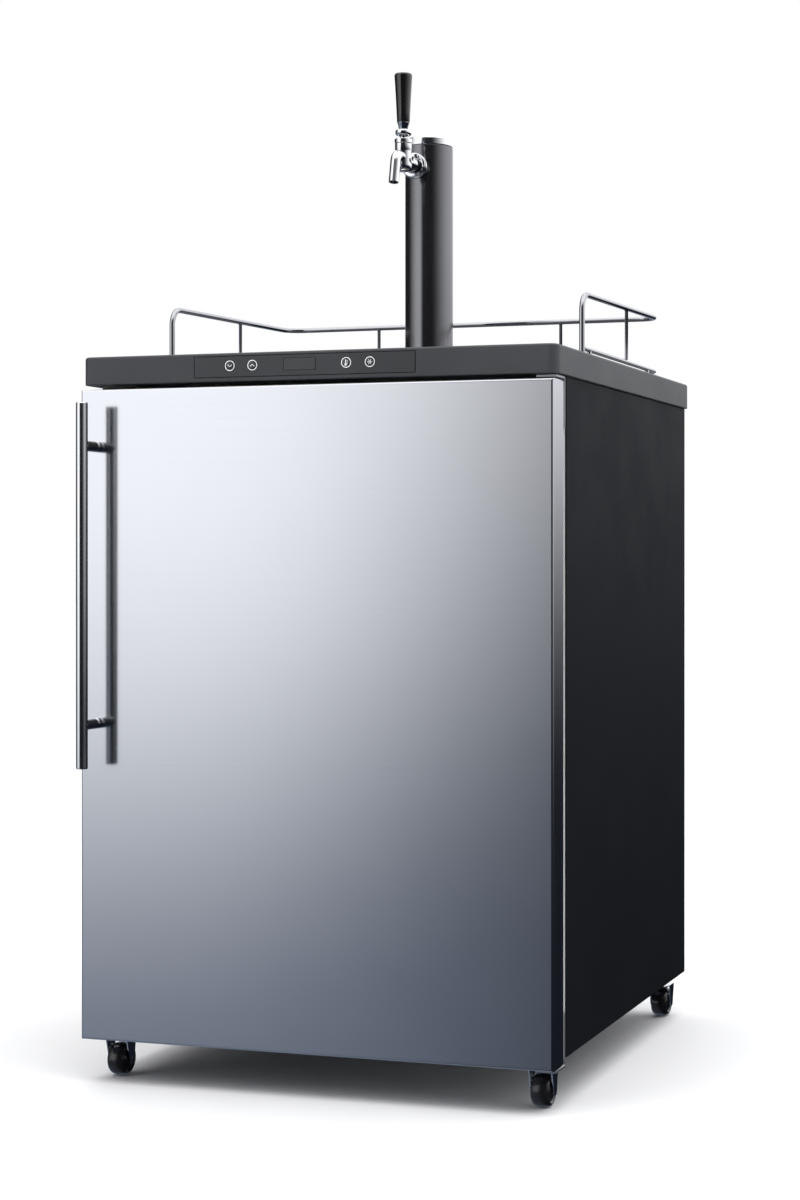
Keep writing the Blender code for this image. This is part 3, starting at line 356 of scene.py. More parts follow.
finish_of("clear_hose", (0.74, 0.77, 0.78), 0.18, wander=0.04, Transmission_Weight=0.55, IOR=1.42)
finish_of(
    "wheel_rubber", (0.010, 0.010, 0.011), 0.17, gloss_change=0.10, Coat_Weight=0.25, Coat_Roughness=0.15
)
finish_of("bare_floor", (0.92, 0.92, 0.925), 0.75, wander=0.004)
floor.data.materials.append(finishes["bare_floor"])
print("finishes:", len(finishes))

# %% [markdown]
# ## Every node gets its finish
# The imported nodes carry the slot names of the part's record, so each slot takes the
# finish of the same name. Pieces modelled below replace many of these nodes later.

# %% Finish on the nodes
BODY_OF = {
    name: body
    for body, members in frame["record"]["behaviour"]["bodies"].items()
    for name in members
}
FINISH_OF = {}
for name, obj in frame["nodes"].items():
    slot_name = obj.material_slots[0].material.name.split(".")[0]
    FINISH_OF[name] = slot_name
    for slot in obj.material_slots:
        slot.material = finishes[slot_name]
print("finished nodes:", len(FINISH_OF))

# %% [markdown]
# ## Tools for the pieces
# A few helpers do what a modeller's hands do: clear the selection, pick faces or edges by
# where they are, extrude a circle up a profile, and round the edges at the end. Each
# finished piece keeps its object at the origin, so its place is in its mesh.

# %% Selecting and finishing


def only(*objects):
    """Leaves these objects selected and nothing else, in object mode."""
    if bpy.context.mode != "OBJECT":
        bpy.ops.object.mode_set(mode="OBJECT")
    bpy.ops.object.select_all(action="DESELECT")
    for obj in objects:
        obj.select_set(True)
    if objects:
        bpy.context.view_layer.objects.active = objects[0]


def apply_place(name=None):
    """Puts the active object's place, turn and size into its mesh, and names it."""
    bpy.ops.object.transform_apply(location=True, rotation=True, scale=True)
    made = bpy.context.object
    if name:
        made.name = made.data.name = name
    return made


def edit(obj, kind="FACE"):
    only(obj)
    bpy.ops.object.mode_set(mode="EDIT")
    bpy.ops.mesh.select_mode(type=kind)
    bpy.ops.mesh.select_all(action="DESELECT")


def pick(obj, kind, test):
    """Selects the faces, edges or vertices whose middle and normal pass the test."""
    edit(obj, kind)
    bm = bmesh.from_edit_mesh(obj.data)
    found = 0
    for item in {"VERT": bm.verts, "EDGE": bm.edges, "FACE": bm.faces}[kind]:
        if kind == "VERT":
            middle, normal = item.co, item.normal
        elif kind == "EDGE":
            middle = (item.verts[0].co + item.verts[1].co) / 2
            normal = (item.verts[1].co - item.verts[0].co).normalized()
        else:
            middle, normal = item.calc_center_median(), item.normal
        if test(middle, normal):
            item.select_set(True)
            found += 1
    bm.select_flush(True)
    bmesh.update_edit_mesh(obj.data)
    return found


def joined(first, *others):
    """Several loose bodies become one piece."""
    only(first, *others)
    bpy.ops.object.join()
    return bpy.context.object


def outward(obj):
    edit(obj)
    bpy.ops.mesh.select_all(action="SELECT")
    bpy.ops.mesh.remove_doubles(threshold=1e-6)
    bpy.ops.mesh.normals_make_consistent(inside=False)
    only(obj)


def soften(obj, width, segments=3, angle=35):
    """Rounds every edge sharper than the angle, and shades the rest smooth."""
    only(obj)
    if width:
        rounding = obj.modifiers.new("rounding", "BEVEL")
        rounding.width = width
        rounding.segments = segments
        rounding.limit_method = "ANGLE"
        rounding.angle_limit = math.radians(angle)
        bpy.ops.object.modifier_apply(modifier=rounding.name)
    bpy.ops.object.shade_smooth_by_angle(angle=math.radians(angle))
    if width:
        flat_faces = obj.modifiers.new("flat_faces", "WEIGHTED_NORMAL")
        flat_faces.keep_sharp = True
        bpy.ops.object.modifier_apply(modifier=flat_faces.name)


def finished(obj, finish, body, *nodes, width=0.0, segments=3, angle=35):
    """Softens the edges, gives the finish, ties the piece to its body, and hides the nodes it replaces."""
    soften(obj, width, segments, angle)
    obj.data.materials.clear()
    obj.data.materials.append(finishes[finish])
    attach(obj, body)
    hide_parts(*nodes)
    return obj


def carve(obj, cutter):
    """Cuts one piece out of another, and removes the cutter."""
    only(obj)
    cut = obj.modifiers.new("cut", "BOOLEAN")
    cut.operation = "DIFFERENCE"
    cut.object = cutter
    bpy.ops.object.modifier_apply(modifier=cut.name)
    bpy.data.objects.remove(cutter)


def fluted(obj, centre, across, beyond, depth, count, power=1.0):
    """Draws a rim in between its lobes. The rim lies in the plane of the two axes in across."""
    first, second = across
    edit(obj, "VERT")
    bm = bmesh.from_edit_mesh(obj.data)
    for vert in bm.verts:
        arm = Vector((vert.co[first] - centre[0], vert.co[second] - centre[1]))
        if arm.length > beyond:
            wave = 0.5 - 0.5 * math.cos(count * math.atan2(arm.y, arm.x))
            pull = 1 - depth * wave**power
            vert.co[first] = centre[0] + arm.x * pull
            vert.co[second] = centre[1] + arm.y * pull
    bmesh.update_edit_mesh(obj.data)


# %% Blocks, turned parts and bent rods


def block(name, low, high):
    """A box between two corners, the start of a sheet or a bracket."""
    only()
    middle = [(a + b) / 2 for a, b in zip(low, high)]
    size = [b - a for a, b in zip(low, high)]
    bpy.ops.mesh.primitive_cube_add(size=1, location=middle, scale=size)
    return apply_place(name)


def raised_bar(name, middle, lean, size):
    """A small bar turned about Y, as a mark on a key or a dial."""
    only()
    bpy.ops.mesh.primitive_cube_add(size=1, location=middle, rotation=(0, -lean, 0), scale=size)
    return apply_place(name)


AXIS_TURN = {"Z": (0, 0, 0), "Y": (-math.pi / 2, 0, 0), "X": (0, math.pi / 2, 0)}


def turned(name, profile, centre=(0, 0, 0), axis="Z", steps=64, ring=False):
    """Extrudes a circle up a profile of (radius, height), as on a lathe.

    A ring has a bore: its profile goes up the outside and down the bore.
    """
    only()
    radius, height = profile[0]
    bpy.ops.mesh.primitive_circle_add(
        vertices=steps, radius=radius, location=(0, 0, height), fill_type="NGON"
    )
    made = apply_place(name)
    edit(made)
    bpy.ops.mesh.select_all(action="SELECT")
    for next_radius, next_height in profile[1:]:
        rise_by = {"value": (0, 0, next_height - height)}
        bpy.ops.mesh.extrude_region_move(TRANSFORM_OT_translate=rise_by)
        gain = next_radius / radius
        bpy.ops.transform.resize(value=(gain, gain, 1), center_override=(0, 0, next_height))
        radius, height = next_radius, next_height
    if ring:
        bpy.ops.mesh.select_all(action="DESELECT")
        bpy.ops.mesh.select_face_by_sides(number=steps, type="EQUAL")
        bpy.ops.mesh.bridge_edge_loops()
    outward(made)
    made.rotation_euler = AXIS_TURN[axis]
    made.location = centre
    only(made)
    return apply_place()


def new_curve(name, count):
    """A curve with so many points, still to be placed."""
    only()
    bpy.ops.curve.primitive_bezier_curve_add(location=(0, 0, 0))
    made = bpy.context.object
    made.name = name
    made.data.splines[0].bezier_points.add(count - 2)
    return made


def swept(curve, radius, steps, fineness):
    """Gives a curve its thickness and closed ends, and turns it into a mesh."""
    curve.data.dimensions = "3D"
    curve.data.resolution_u = steps
    curve.data.bevel_depth = radius
    curve.data.bevel_resolution = fineness
    curve.data.use_fill_caps = True
    only(curve)
    bpy.ops.object.convert(target="MESH")
    outward(bpy.context.object)
    return bpy.context.object


def rod(name, corners, bends, radius, steps=10, sides=16):
    """A wire or tube through the corners, each bent to its radius."""
    path = [Vector(corner) for corner in corners]
    points = [(path[0], None, None)]
    for before, corner, after, bend in zip(path, path[1:-1], path[2:], bends):
        inward, onward = (before - corner).normalized(), (after - corner).normalized()
        sweep = math.pi - inward.angle(onward)
        tangent = bend * math.tan(sweep / 2)
        pull = 4 / 3 * math.tan(sweep / 4) * bend
        start, stop = corner + inward * tangent, corner + onward * tangent
        points.append((start, None, start - inward * pull))
        points.append((stop, stop - onward * pull, None))
    points.append((path[-1], None, None))
    made = new_curve(name, len(points))
    for place_on, (here, left, right) in zip(made.data.splines[0].bezier_points, points):
        place_on.handle_left_type = place_on.handle_right_type = "FREE"
        place_on.co = here
        place_on.handle_left = left or here
        place_on.handle_right = right or here
    return swept(made, radius, steps, sides // 4)


def refined(name, width=0.0006, segments=3, angle=35, finish=None):
    """A copy of a node with its triangles merged into flat faces and its edges rounded."""
    source = frame["nodes"][name]
    made = source.copy()
    made.data = source.data.copy()
    made.name = made.data.name = "fine_" + name
    bpy.context.collection.objects.link(made)
    world_place = source.matrix_world.copy()
    made.parent = None
    made.matrix_world = world_place
    for key in list(made.keys()):
        del made[key]
    only(made)
    apply_place()
    outward(made)
    edit(made)
    bpy.ops.mesh.select_all(action="SELECT")
    bpy.ops.mesh.dissolve_limited(angle_limit=math.radians(1.0))
    only(made)
    return finished(
        made, finish or FINISH_OF[name], BODY_OF[name], name,
        width=width, segments=segments, angle=angle,
    )


print("tools are ready")

# %% [markdown]
# ## Door handle
# The handle is a straight steel tube with flat, slightly rounded ends, held off the door
# by two short posts. It is the brightest line on the object, so it is turned with enough
# sides that its reflections run clean from top to bottom.

# %% Handle bar and posts
low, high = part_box("handle_bar")
HANDLE = ((low.x + high.x) / 2, (low.y + high.y) / 2)
HANDLE_RADIUS = (high.x - low.x) / 2
bar_profile = [
    (HANDLE_RADIUS - 0.0008, low.z), (HANDLE_RADIUS, low.z + 0.0008),
    (HANDLE_RADIUS, high.z - 0.0008), (HANDLE_RADIUS - 0.0008, high.z),
]
bar = turned("handle_tube", bar_profile, (*HANDLE, 0), steps=96)
finished(bar, "steel_trim", "door", "handle_bar", width=0.0003, segments=2)

for level in ("lower", "upper"):
    low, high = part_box("handle_post_" + level)
    radius = (high.x - low.x) / 2
    foot = high.y
    profile = [
        (radius, -foot), (radius, -foot + 0.003), (radius - 0.0012, -foot + 0.0036),
        (radius - 0.0012, -foot + 0.0062), (radius, -foot + 0.0068), (radius, -low.y - 0.0004),
    ]
    middle = (HANDLE[0], 0, (low.z + high.z) / 2)
    post = turned(f"handle_post_turned_{level}", [(r, -h) for r, h in profile], middle, "Y", steps=48)
    finished(post, "steel_trim", "door", "handle_post_" + level, width=0.0003, segments=2)
print("handle bar", round(bar.dimensions.z, 3), "m long")

# %% [markdown]
# ## Tower
# The draft tower is a black tube on a bolted foot, with a pressed chrome cap on top. The
# foot carries four screws, and the cap has a rounded shoulder and a shallow rim.

# %% Column, cap and foot
TOWER_Y = 0.119
low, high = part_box("tower_column")
RADIUS = (high.x - low.x) / 2
column_profile = [(RADIUS, low.z), (RADIUS, high.z), (RADIUS - 0.002, high.z), (RADIUS - 0.002, low.z)]
column = turned("tower_tube", column_profile, (0, TOWER_Y, 0), steps=128, ring=True)
finished(column, "tower_black", "cabinet", "tower_column", width=0.0004)

low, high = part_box("tower_cap")
rim = (high.x - low.x) / 2
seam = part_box("tower_column")[1].z + 0.0003
cap_profile = [
    (rim - 0.0022, low.z), (rim - 0.0022, seam), (rim - 0.0002, seam + 0.0002), (rim, seam + 0.0012),
    (rim, high.z - 0.0036), (rim - 0.0006, high.z - 0.0020), (rim - 0.0020, high.z - 0.0007),
    (rim - 0.0040, high.z), (rim - 0.0080, high.z - 0.0002), (rim - 0.0100, high.z - 0.0010),
    (rim - 0.0300, high.z - 0.0010),
]
cap = turned("tower_cap_pressed", cap_profile, (0, TOWER_Y, 0), steps=96)
finished(cap, "chrome", "cabinet", "tower_cap", width=0.0002, segments=2, angle=28)

low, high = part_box("tower_flange")
foot_radius = (high.x - low.x) / 2
foot_profile = [
    (foot_radius, low.z), (foot_radius, low.z + 0.0030), (foot_radius - 0.0012, low.z + 0.0044),
    (RADIUS + 0.0060, low.z + 0.0052), (RADIUS + 0.0040, low.z + 0.0066),
    (RADIUS + 0.0032, high.z - 0.0010), (RADIUS + 0.0024, high.z), (RADIUS + 0.0004, high.z),
    (RADIUS + 0.0004, low.z + 0.0050), (RADIUS - 0.0060, low.z + 0.0050), (RADIUS - 0.0060, low.z),
]
flange = turned("tower_foot", foot_profile, (0, TOWER_Y, 0), steps=96, ring=True)
finished(flange, "tower_black", "cabinet", "tower_flange", width=0.0003, segments=2)


def screw(name, centre, axis, body, radius=0.0038, height=0.0016, flip=1):
    """A pan-head screw with a cross recess, standing on its surface at the centre."""
    dome = [(radius, 0), (radius, 0.35), (0.9 * radius, 0.7), (0.62 * radius, 0.95), (0.3 * radius, 1)]
    head = turned(name, [(r, flip * h * height) for r, h in dome], centre, axis, steps=24)
    depth = "XYZ".index(axis)
    spread = [number for number in range(3) if number != depth]
    top = Vector(centre)
    top[depth] += flip * height * 1.1
    for arm in range(2):
        size = [height, height, height]
        size[spread[arm]] = radius * 1.05
        size[spread[1 - arm]] = radius * 0.20
        reach = Vector(size) / 2
        carve(head, block(f"{name}_arm_{arm}", top - reach, top + reach))
    return finished(head, "zinc", body)


BOLT_CIRCLE = 0.0445
for number in range(4):
    angle = math.radians(45 + 90 * number)
    across, along = BOLT_CIRCLE * math.cos(angle), BOLT_CIRCLE * math.sin(angle)
    spot = (across, TOWER_Y + along, low.z + 0.0040)
    screw(f"tower_screw_{number}", spot, "Z", "cabinet", radius=0.0034)
print("tower", round(high.z, 4))

# %% [markdown]
# ## Faucet
# The tap is a forward-sealing beer faucet in polished chrome. A ribbed nut holds it on
# the shank, which runs through the tower wall with a cone against the tube. The body is
# a barrel with a curved spout and a vent plug on its side, and the lever's ball sits
# under a bonnet ring. Every part is turned, and the spout is swept along its bend.

# %% Shank and coupling nut
SHANK_Z = 1.147
FAUCET_Y = 0.022
SHANK = (0, 0, SHANK_Z)
shank_profile = [
    (0.0105, 0.0640), (0.0105, 0.0684), (0.0126, 0.0686), (0.0146, 0.0692), (0.0150, 0.0702),
    (0.0149, 0.0716), (0.0140, 0.0745), (0.0130, 0.0790), (0.0126, 0.0830), (0.0125, 0.0864),
    (0.0105, 0.0866), (0.0105, 0.1180), (0.0040, 0.1180), (0.0040, 0.0640),
]
shank = turned("shank_turned", shank_profile, SHANK, "Y", steps=80, ring=True)
elbow = rod(
    "shank_elbow", [(0, 0.114, SHANK_Z), (0, 0.126, SHANK_Z), (0, 0.126, SHANK_Z - 0.022)],
    [0.007], 0.0062,
)
shank = joined(shank, elbow)
finished(shank, "chrome", "cabinet", "shank", width=0.00025, segments=2)

nut_profile = [
    (0.0112, 0.0570), (0.0148, 0.0570), (0.0158, 0.0573), (0.0164, 0.0580), (0.0165, 0.0588),
    (0.0165, 0.0602), (0.0161, 0.0608), (0.0154, 0.0611), (0.0154, 0.0622), (0.0161, 0.0625),
    (0.0165, 0.0631), (0.0165, 0.0664), (0.0160, 0.0673), (0.0150, 0.0679), (0.0112, 0.0680),
]
nut = turned("coupling_nut_ribbed", nut_profile, SHANK, "Y", steps=72, ring=True)
NOTCH_CIRCLE = 0.0167
for number in range(8):
    angle = math.pi / 4 * number + math.pi / 8
    spot = (NOTCH_CIRCLE * math.cos(angle), 0.0650, SHANK_Z + NOTCH_CIRCLE * math.sin(angle))
    only()
    bpy.ops.mesh.primitive_cylinder_add(
        vertices=12, radius=0.0009, depth=0.0026, location=spot, rotation=(math.pi / 2, 0, 0)
    )
    carve(nut, apply_place("notch"))
finished(nut, "chrome", "cabinet", "coupling_nut")

# %% Faucet body, spout and vent plug
barrel_profile = [
    (0.0045, SHANK_Z - 0.0146), (0.0075, SHANK_Z - 0.0140), (0.0098, SHANK_Z - 0.0122),
    (0.0108, SHANK_Z - 0.0095), (0.0110, SHANK_Z - 0.0060), (0.0110, SHANK_Z + 0.0085),
    (0.0106, SHANK_Z + 0.0100), (0.0106, SHANK_Z + 0.0125), (0.0110, SHANK_Z + 0.0140),
    (0.0110, SHANK_Z + 0.0215), (0.0096, SHANK_Z + 0.0217), (0.0096, SHANK_Z + 0.0040),
]
barrel = turned("faucet_barrel", barrel_profile, (0, FAUCET_Y, 0), steps=72)
tail_profile = [
    (0.0088, FAUCET_Y + 0.004), (0.0098, FAUCET_Y + 0.012), (0.0105, FAUCET_Y + 0.016),
    (0.0105, 0.0560), (0.0070, 0.0560), (0.0070, 0.0637), (0.0060, 0.0637), (0.0060, 0.0400),
]
tail = turned("faucet_tail", tail_profile, SHANK, "Y", steps=64)
spout = rod(
    "faucet_spout",
    [(0, FAUCET_Y - 0.002, 1.1512), (0, -0.0050, 1.1512), (0, -0.0135, 1.1135)],
    [0.0125], 0.0066, steps=16, sides=28,
)
# The mouth is cut level and a little wider than the tube, with a wall 1.6 mm thick.
found = pick(spout, "FACE", lambda middle, normal: middle.z < 1.1155 and normal.z < -0.8)
bpy.ops.mesh.inset(thickness=0.0018)
bpy.ops.mesh.extrude_region_move(TRANSFORM_OT_translate={"value": (0, 0.0016, 0.0075)})
only(spout)
plug_profile = [
    (0.0058, 0.0085), (0.0058, 0.0112), (0.0052, 0.0119), (0.0040, 0.0121), (0.0036, 0.0119),
    (0.0030, 0.0106), (0.0010, 0.0105),
]
vent = turned("vent_plug", plug_profile, (0, FAUCET_Y + 0.0010, SHANK_Z + 0.0010), "X", steps=40)
body = joined(barrel, tail, spout)
body.name = "faucet_body_chrome"
finished(body, "chrome", "cabinet", "faucet_body", angle=40)

print("spout faces opened:", found)

# %% Bonnet, lever and tap handle
AXIS = (0, FAUCET_Y, 0)
bonnet_profile = [
    (0.0088, 1.1690), (0.0108, 1.1690), (0.0115, 1.1694), (0.0115, 1.1738), (0.0112, 1.1746),
    (0.0106, 1.1748), (0.0096, 1.1746), (0.0088, 1.1742),
]
bonnet = turned("bonnet_ring", bonnet_profile, AXIS, steps=72, ring=True)
finished(bonnet, "chrome", "cabinet", "bonnet_nut", width=0.0002, segments=2)

PIVOT_Z = 1.166
BALL = 0.0075
lever_profile = [(0.0018, SHANK_Z + 0.0035)]
for step in range(13):
    angle = -1.33 + (1.33 + 0.927) * step / 12
    lever_profile.append((BALL * math.cos(angle), PIVOT_Z + BALL * math.sin(angle)))
lever_profile += [
    (0.0045, 1.1772), (0.0062, 1.1784), (0.0088, 1.1794), (0.0101, 1.1806), (0.0105, 1.1822),
    (0.0105, 1.1842), (0.0101, 1.1856), (0.0090, 1.1865), (0.0036, 1.1868), (0.0036, 1.1958),
]
lever = turned("lever_turned", lever_profile, AXIS, steps=72)
finished(lever, "chrome", "tap_lever", "faucet_lever")

ferrule_profile = [
    (0.0042, 1.1871), (0.0056, 1.1871), (0.0059, 1.1876), (0.0062, 1.1892), (0.0070, 1.1930),
    (0.0079, 1.1955), (0.0080, 1.1961), (0.0042, 1.1963),
]
ferrule = turned("tap_ferrule", ferrule_profile, AXIS, steps=72, ring=True)
finished(ferrule, "chrome", "tap_lever", "tap_handle", width=0.0001, segments=2)
grip_profile = [
    (0.0078, 1.1963), (0.0082, 1.1966), (0.0084, 1.1974), (0.0090, 1.2100), (0.0102, 1.2330),
    (0.0114, 1.2520), (0.0117, 1.2556), (0.0116, 1.2572), (0.0111, 1.2586), (0.0102, 1.2595),
    (0.0085, 1.2599), (0.0040, 1.2600),
]
grip = turned("tap_grip", grip_profile, AXIS, steps=80)
finished(grip, "tap_black", "tap_lever", "tap_handle")
finished(vent, "chrome", "cabinet", width=0.0001, segments=2)
print("tap top", round(max(v.co.z for v in grip.data.vertices), 4))

# %% [markdown]
# ## Guard rail
# Two bright wires keep glasses on the lid. The upper one rises from the front corners,
# bends back level and runs round three sides on thin posts. The lower one runs a little
# above the lid on short feet. Each wire is one sweep with round bends.

# %% Upper and lower rail
RAIL_X = 0.274
RAIL_FRONT, RAIL_BACK = -0.092, 0.281
FRONT_Z, BACK_Z = 0.952, 0.960
LOWER_Z = 0.886
LID_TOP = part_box("worktop")[1].z
foot_z = LID_TOP + 0.0003
upper_corners = [
    (-RAIL_X, RAIL_FRONT, foot_z), (-RAIL_X, RAIL_FRONT, FRONT_Z), (-RAIL_X, RAIL_BACK, BACK_Z),
    (RAIL_X, RAIL_BACK, BACK_Z), (RAIL_X, RAIL_FRONT, FRONT_Z), (RAIL_X, RAIL_FRONT, foot_z),
]
upper_rail = rod("upper_wire", upper_corners, [0.022, 0.025, 0.025, 0.022], 0.0035, sides=20)
slope = (BACK_Z - FRONT_Z) / (RAIL_BACK - RAIL_FRONT)
posts = []
for x, y in ((-RAIL_X, 0.115), (RAIL_X, 0.115), (-0.135, RAIL_BACK), (0.135, RAIL_BACK)):
    top = FRONT_Z + slope * (y - RAIL_FRONT)
    profile = [
        (0.00225, LOWER_Z + 0.0033), (0.00225, top - 0.0042), (0.0029, top - 0.0031), (0.0029, top - 0.0010),
    ]
    posts.append(turned("rail_post", profile, (x, y, 0), steps=20))
collar = [
    (0.0052, foot_z), (0.0052, foot_z + 0.0016), (0.0046, foot_z + 0.0024), (0.0036, foot_z + 0.0026),
]
for side in (-1, 1):
    posts.append(turned("rail_collar", collar, (side * RAIL_X, RAIL_FRONT, 0), steps=32))
upper_rail = joined(upper_rail, *posts)
finished(upper_rail, "rail_chrome", "cabinet", "rail_upper")

start = RAIL_FRONT + 0.0038
lower_corners = [
    (-RAIL_X, start, LOWER_Z), (-RAIL_X, RAIL_BACK, LOWER_Z),
    (RAIL_X, RAIL_BACK, LOWER_Z), (RAIL_X, start, LOWER_Z),
]
lower_rail = rod("lower_wire", lower_corners, [0.025, 0.025], 0.003, sides=16)
feet = []
profile = [
    (0.0035, foot_z), (0.0035, foot_z + 0.0040), (0.0030, foot_z + 0.0060), (0.0028, LOWER_Z - 0.001),
]
for side in (-1, 1):
    for x, y in ((side * RAIL_X, 0.22), (side * 0.22, RAIL_BACK), (side * RAIL_X, -0.06)):
        feet.append(turned("rail_foot", profile, (x, y, 0), steps=24))
lower_rail = joined(lower_rail, *feet)
finished(lower_rail, "rail_chrome", "cabinet", "rail_lower")
print("rail bounds", [round(v, 3) for v in upper_rail.dimensions])

# %% [markdown]
# ## Door
# The door is a folded steel skin over foam, with a white inner panel and a soft magnetic
# seal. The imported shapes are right, so each is copied, its triangles are merged to flat
# faces, and its folds are rounded. A thin bright fold is what makes sheet look like sheet.

# %% Door skin, inner panel and seal
NEAR, FOLD = 0.0001, 0.0026


def on_rim(middle, within):
    """Whether a place is within this distance of the rim of the box from low to high."""
    return abs(middle.x) > high.x - within or not low.z + within < middle.z < high.z - within


skin = refined("door_skin", width=0.0)
low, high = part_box("door_skin")
front_rim = lambda middle, along: middle.y < low.y + NEAR and on_rim(middle, NEAR)
found = pick(skin, "EDGE", front_rim)
bpy.ops.mesh.bevel(offset=FOLD, segments=5, affect="EDGES")
only(skin)
soften(skin, width=0.0004, segments=2)
print("door edges rounded:", found)
door_liner = refined("door_liner", width=0.0012)
refined("door_foam", width=0.0)
# The outer rim of the inner panel is wrapped in the same steel as the skin.
low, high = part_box("door_liner")
door_liner.data.materials.append(finishes["door_steel"])
pick(door_liner, "FACE", lambda middle, normal: abs(normal.y) < 0.5 and on_rim(middle, 0.002))
door_liner.active_material_index = 1
bpy.ops.object.material_slot_assign()
only(door_liner)

LEDGE_HALF = 0.215
for number, shelf_z in enumerate((0.250, 0.520)):
    ledge = block(
        f"door_ledge_{number}",
        (-LEDGE_HALF, high.y + 0.0002, shelf_z), (LEDGE_HALF, high.y + 0.0085, shelf_z + 0.012),
    )
    finished(ledge, "white_plastic", "door", width=0.003, segments=4)

low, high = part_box("door_gasket")
GASKET_WIDTH = 0.022
seal = block("door_seal_bellows", low, high)
margin = Vector((GASKET_WIDTH, -0.01, GASKET_WIDTH))
carve(seal, block("seal_hole", low + margin, high - margin))
# The bellows: the flat rear face is inset, and its middle band pulled back as a groove.
pick(seal, "FACE", lambda middle, normal: normal.y > 0.9)
bpy.ops.mesh.inset(thickness=0.0055)
bpy.ops.mesh.extrude_region_move(TRANSFORM_OT_translate={"value": (0, -0.004, 0)})
bpy.ops.mesh.inset(thickness=0.0025)
bpy.ops.mesh.extrude_region_move(TRANSFORM_OT_translate={"value": (0, 0.003, 0)})
only(seal)
finished(seal, "seal_grey", "door", "door_gasket", width=0.0009)
print("door pieces done")

# %% Hinges
HINGE_X = 0.290
for level in ("upper", "lower"):
    refined("hinge_" + level, width=0.0008)
    low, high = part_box("hinge_" + level)
    base = 0.790 if level == "upper" else 0.073
    for number in range(2):
        spot = (HINGE_X, low.y + 0.0334, base + 0.020 * number)
        screw(f"hinge_screw_{level}_{number}", spot, "Y", "cabinet", radius=0.0036, height=0.0018, flip=-1)

# %% [markdown]
# ## Lid
# The lid is a thick moulded slab with generous rounded corners and a fine pebble. A gloss
# strip is let into its front edge, with a smoked display window and four round keys. The
# keys have raised pale rings and plain signs: colder, warmer, scale and fast chill. There
# is no lettering beside them.

# %% Lid
refined("worktop", width=0.0022, segments=4, angle=50)
refined("control_fascia", width=0.0003, segments=2)
refined("display_window", width=0.0003, segments=2)

# %% Keys with their signs
KEY_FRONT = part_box("key_colder")[0].y
RELIEF = 0.00018


def key_sign(name, key, shape, x, z):
    """Thin raised bars, each (from x, from z, to x, to z, width), joined to one sign."""
    bars = []
    for number, (x1, z1, x2, z2, wide) in enumerate(shape):
        start, stop = Vector((x + x1, z + z1)), Vector((x + x2, z + z2))
        length, middle = (stop - start).length, (start + stop) / 2
        lean = math.atan2(stop.y - start.y, stop.x - start.x)
        size = (length + wide, RELIEF, wide)
        place = (middle.x, KEY_FRONT + 0.00010, middle.y)
        bars.append(raised_bar(f"{name}_bar_{number}", place, lean, size))
    sign = joined(*bars)
    sign.name = name
    finished(sign, "key_mark", BODY_OF[key])
    return sign


SIGNS = {
    "key_colder": [(-0.0024, 0.0012, 0, -0.0013, 0.0007), (0, -0.0013, 0.0024, 0.0012, 0.0007)],
    "key_warmer": [(-0.0024, -0.0012, 0, 0.0013, 0.0007), (0, 0.0013, 0.0024, -0.0012, 0.0007)],
    "key_units": [
        (-0.0006, -0.0012, -0.0006, 0.0028, 0.0011), (-0.0008, -0.0024, -0.0004, -0.0024, 0.0022),
        (0.0010, 0.0022, 0.0020, 0.0022, 0.0005), (0.0010, 0.0006, 0.0020, 0.0006, 0.0005),
        (0.0010, -0.0010, 0.0020, -0.0010, 0.0005),
    ],
    "key_fast_chill": [
        (-0.0028, 0, 0.0028, 0, 0.0006), (-0.0014, -0.0024, 0.0014, 0.0024, 0.0006),
        (-0.0014, 0.0024, 0.0014, -0.0024, 0.0006),
    ],
}
DISC = [(0.0066, 0.0042), (0.0066, 0.0003), (0.0063, 0.0001), (0.0062, 0.00005)]
RING = [(0.0062, 0.0002), (0.0062, 0.0), (0.0053, 0.0), (0.0053, 0.0002)]
for key, shape in SIGNS.items():
    low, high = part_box(key)
    x, z = (low.x + high.x) / 2, (low.z + high.z) / 2
    disc = turned(key + "_cap", DISC, (x, KEY_FRONT, z), "Y", steps=48)
    finished(disc, "key_face", BODY_OF[key], key)
    ring = turned(key + "_ring", RING, (x, KEY_FRONT, z), "Y", steps=48, ring=True)
    finished(ring, "key_mark", BODY_OF[key])
    key_sign(key + "_sign", key, shape, x, z)
print("keys:", list(SIGNS))

# %% [markdown]
# ## Casters
# Each caster is a pressed chrome fork on a swivel bearing, with a solid black wheel on a
# riveted axle. The tread is round, so it catches one soft highlight. One caster is
# modelled for each corner from the same profiles, at its own swivel axis.

# %% Casters
SWIVELS = {
    "front_left": (-0.270, -0.221), "front_right": (0.270, -0.221),
    "rear_left": (-0.270, 0.300), "rear_right": (0.270, 0.300),
}
WHEEL_R = 0.020
TRAIL = 0.016
FORK_HALF = 0.0145
STRAP = 0.0014
tread = [
    (0.0034, 0.0118), (0.0070, 0.0116), (0.0095, 0.0110), (0.0110, 0.0096), (0.0128, 0.0094),
    (0.0142, 0.0104), (0.0152, 0.0112),
]
for step in range(9):
    sweep = math.radians(10 + 80 * step / 8)
    tread.append((0.0145 + 0.0055 * math.sin(sweep), 0.0112 * math.cos(sweep) + 0.0002))
wheel_profile = [(r, -h) for r, h in tread] + tread[::-1]
bearing_profile = [
    (0.0086, 0.0436), (0.0104, 0.0446), (0.0104, 0.0478), (0.0090, 0.0488), (0.0090, 0.0500),
    (0.0104, 0.0508), (0.0104, 0.0560), (0.0096, 0.0570), (0.0055, 0.0570), (0.0055, 0.0655),
]
cap_profile = [(0.0036, 0.0), (0.0036, 0.0006), (0.0028, 0.0011), (0.0014, 0.0013)]
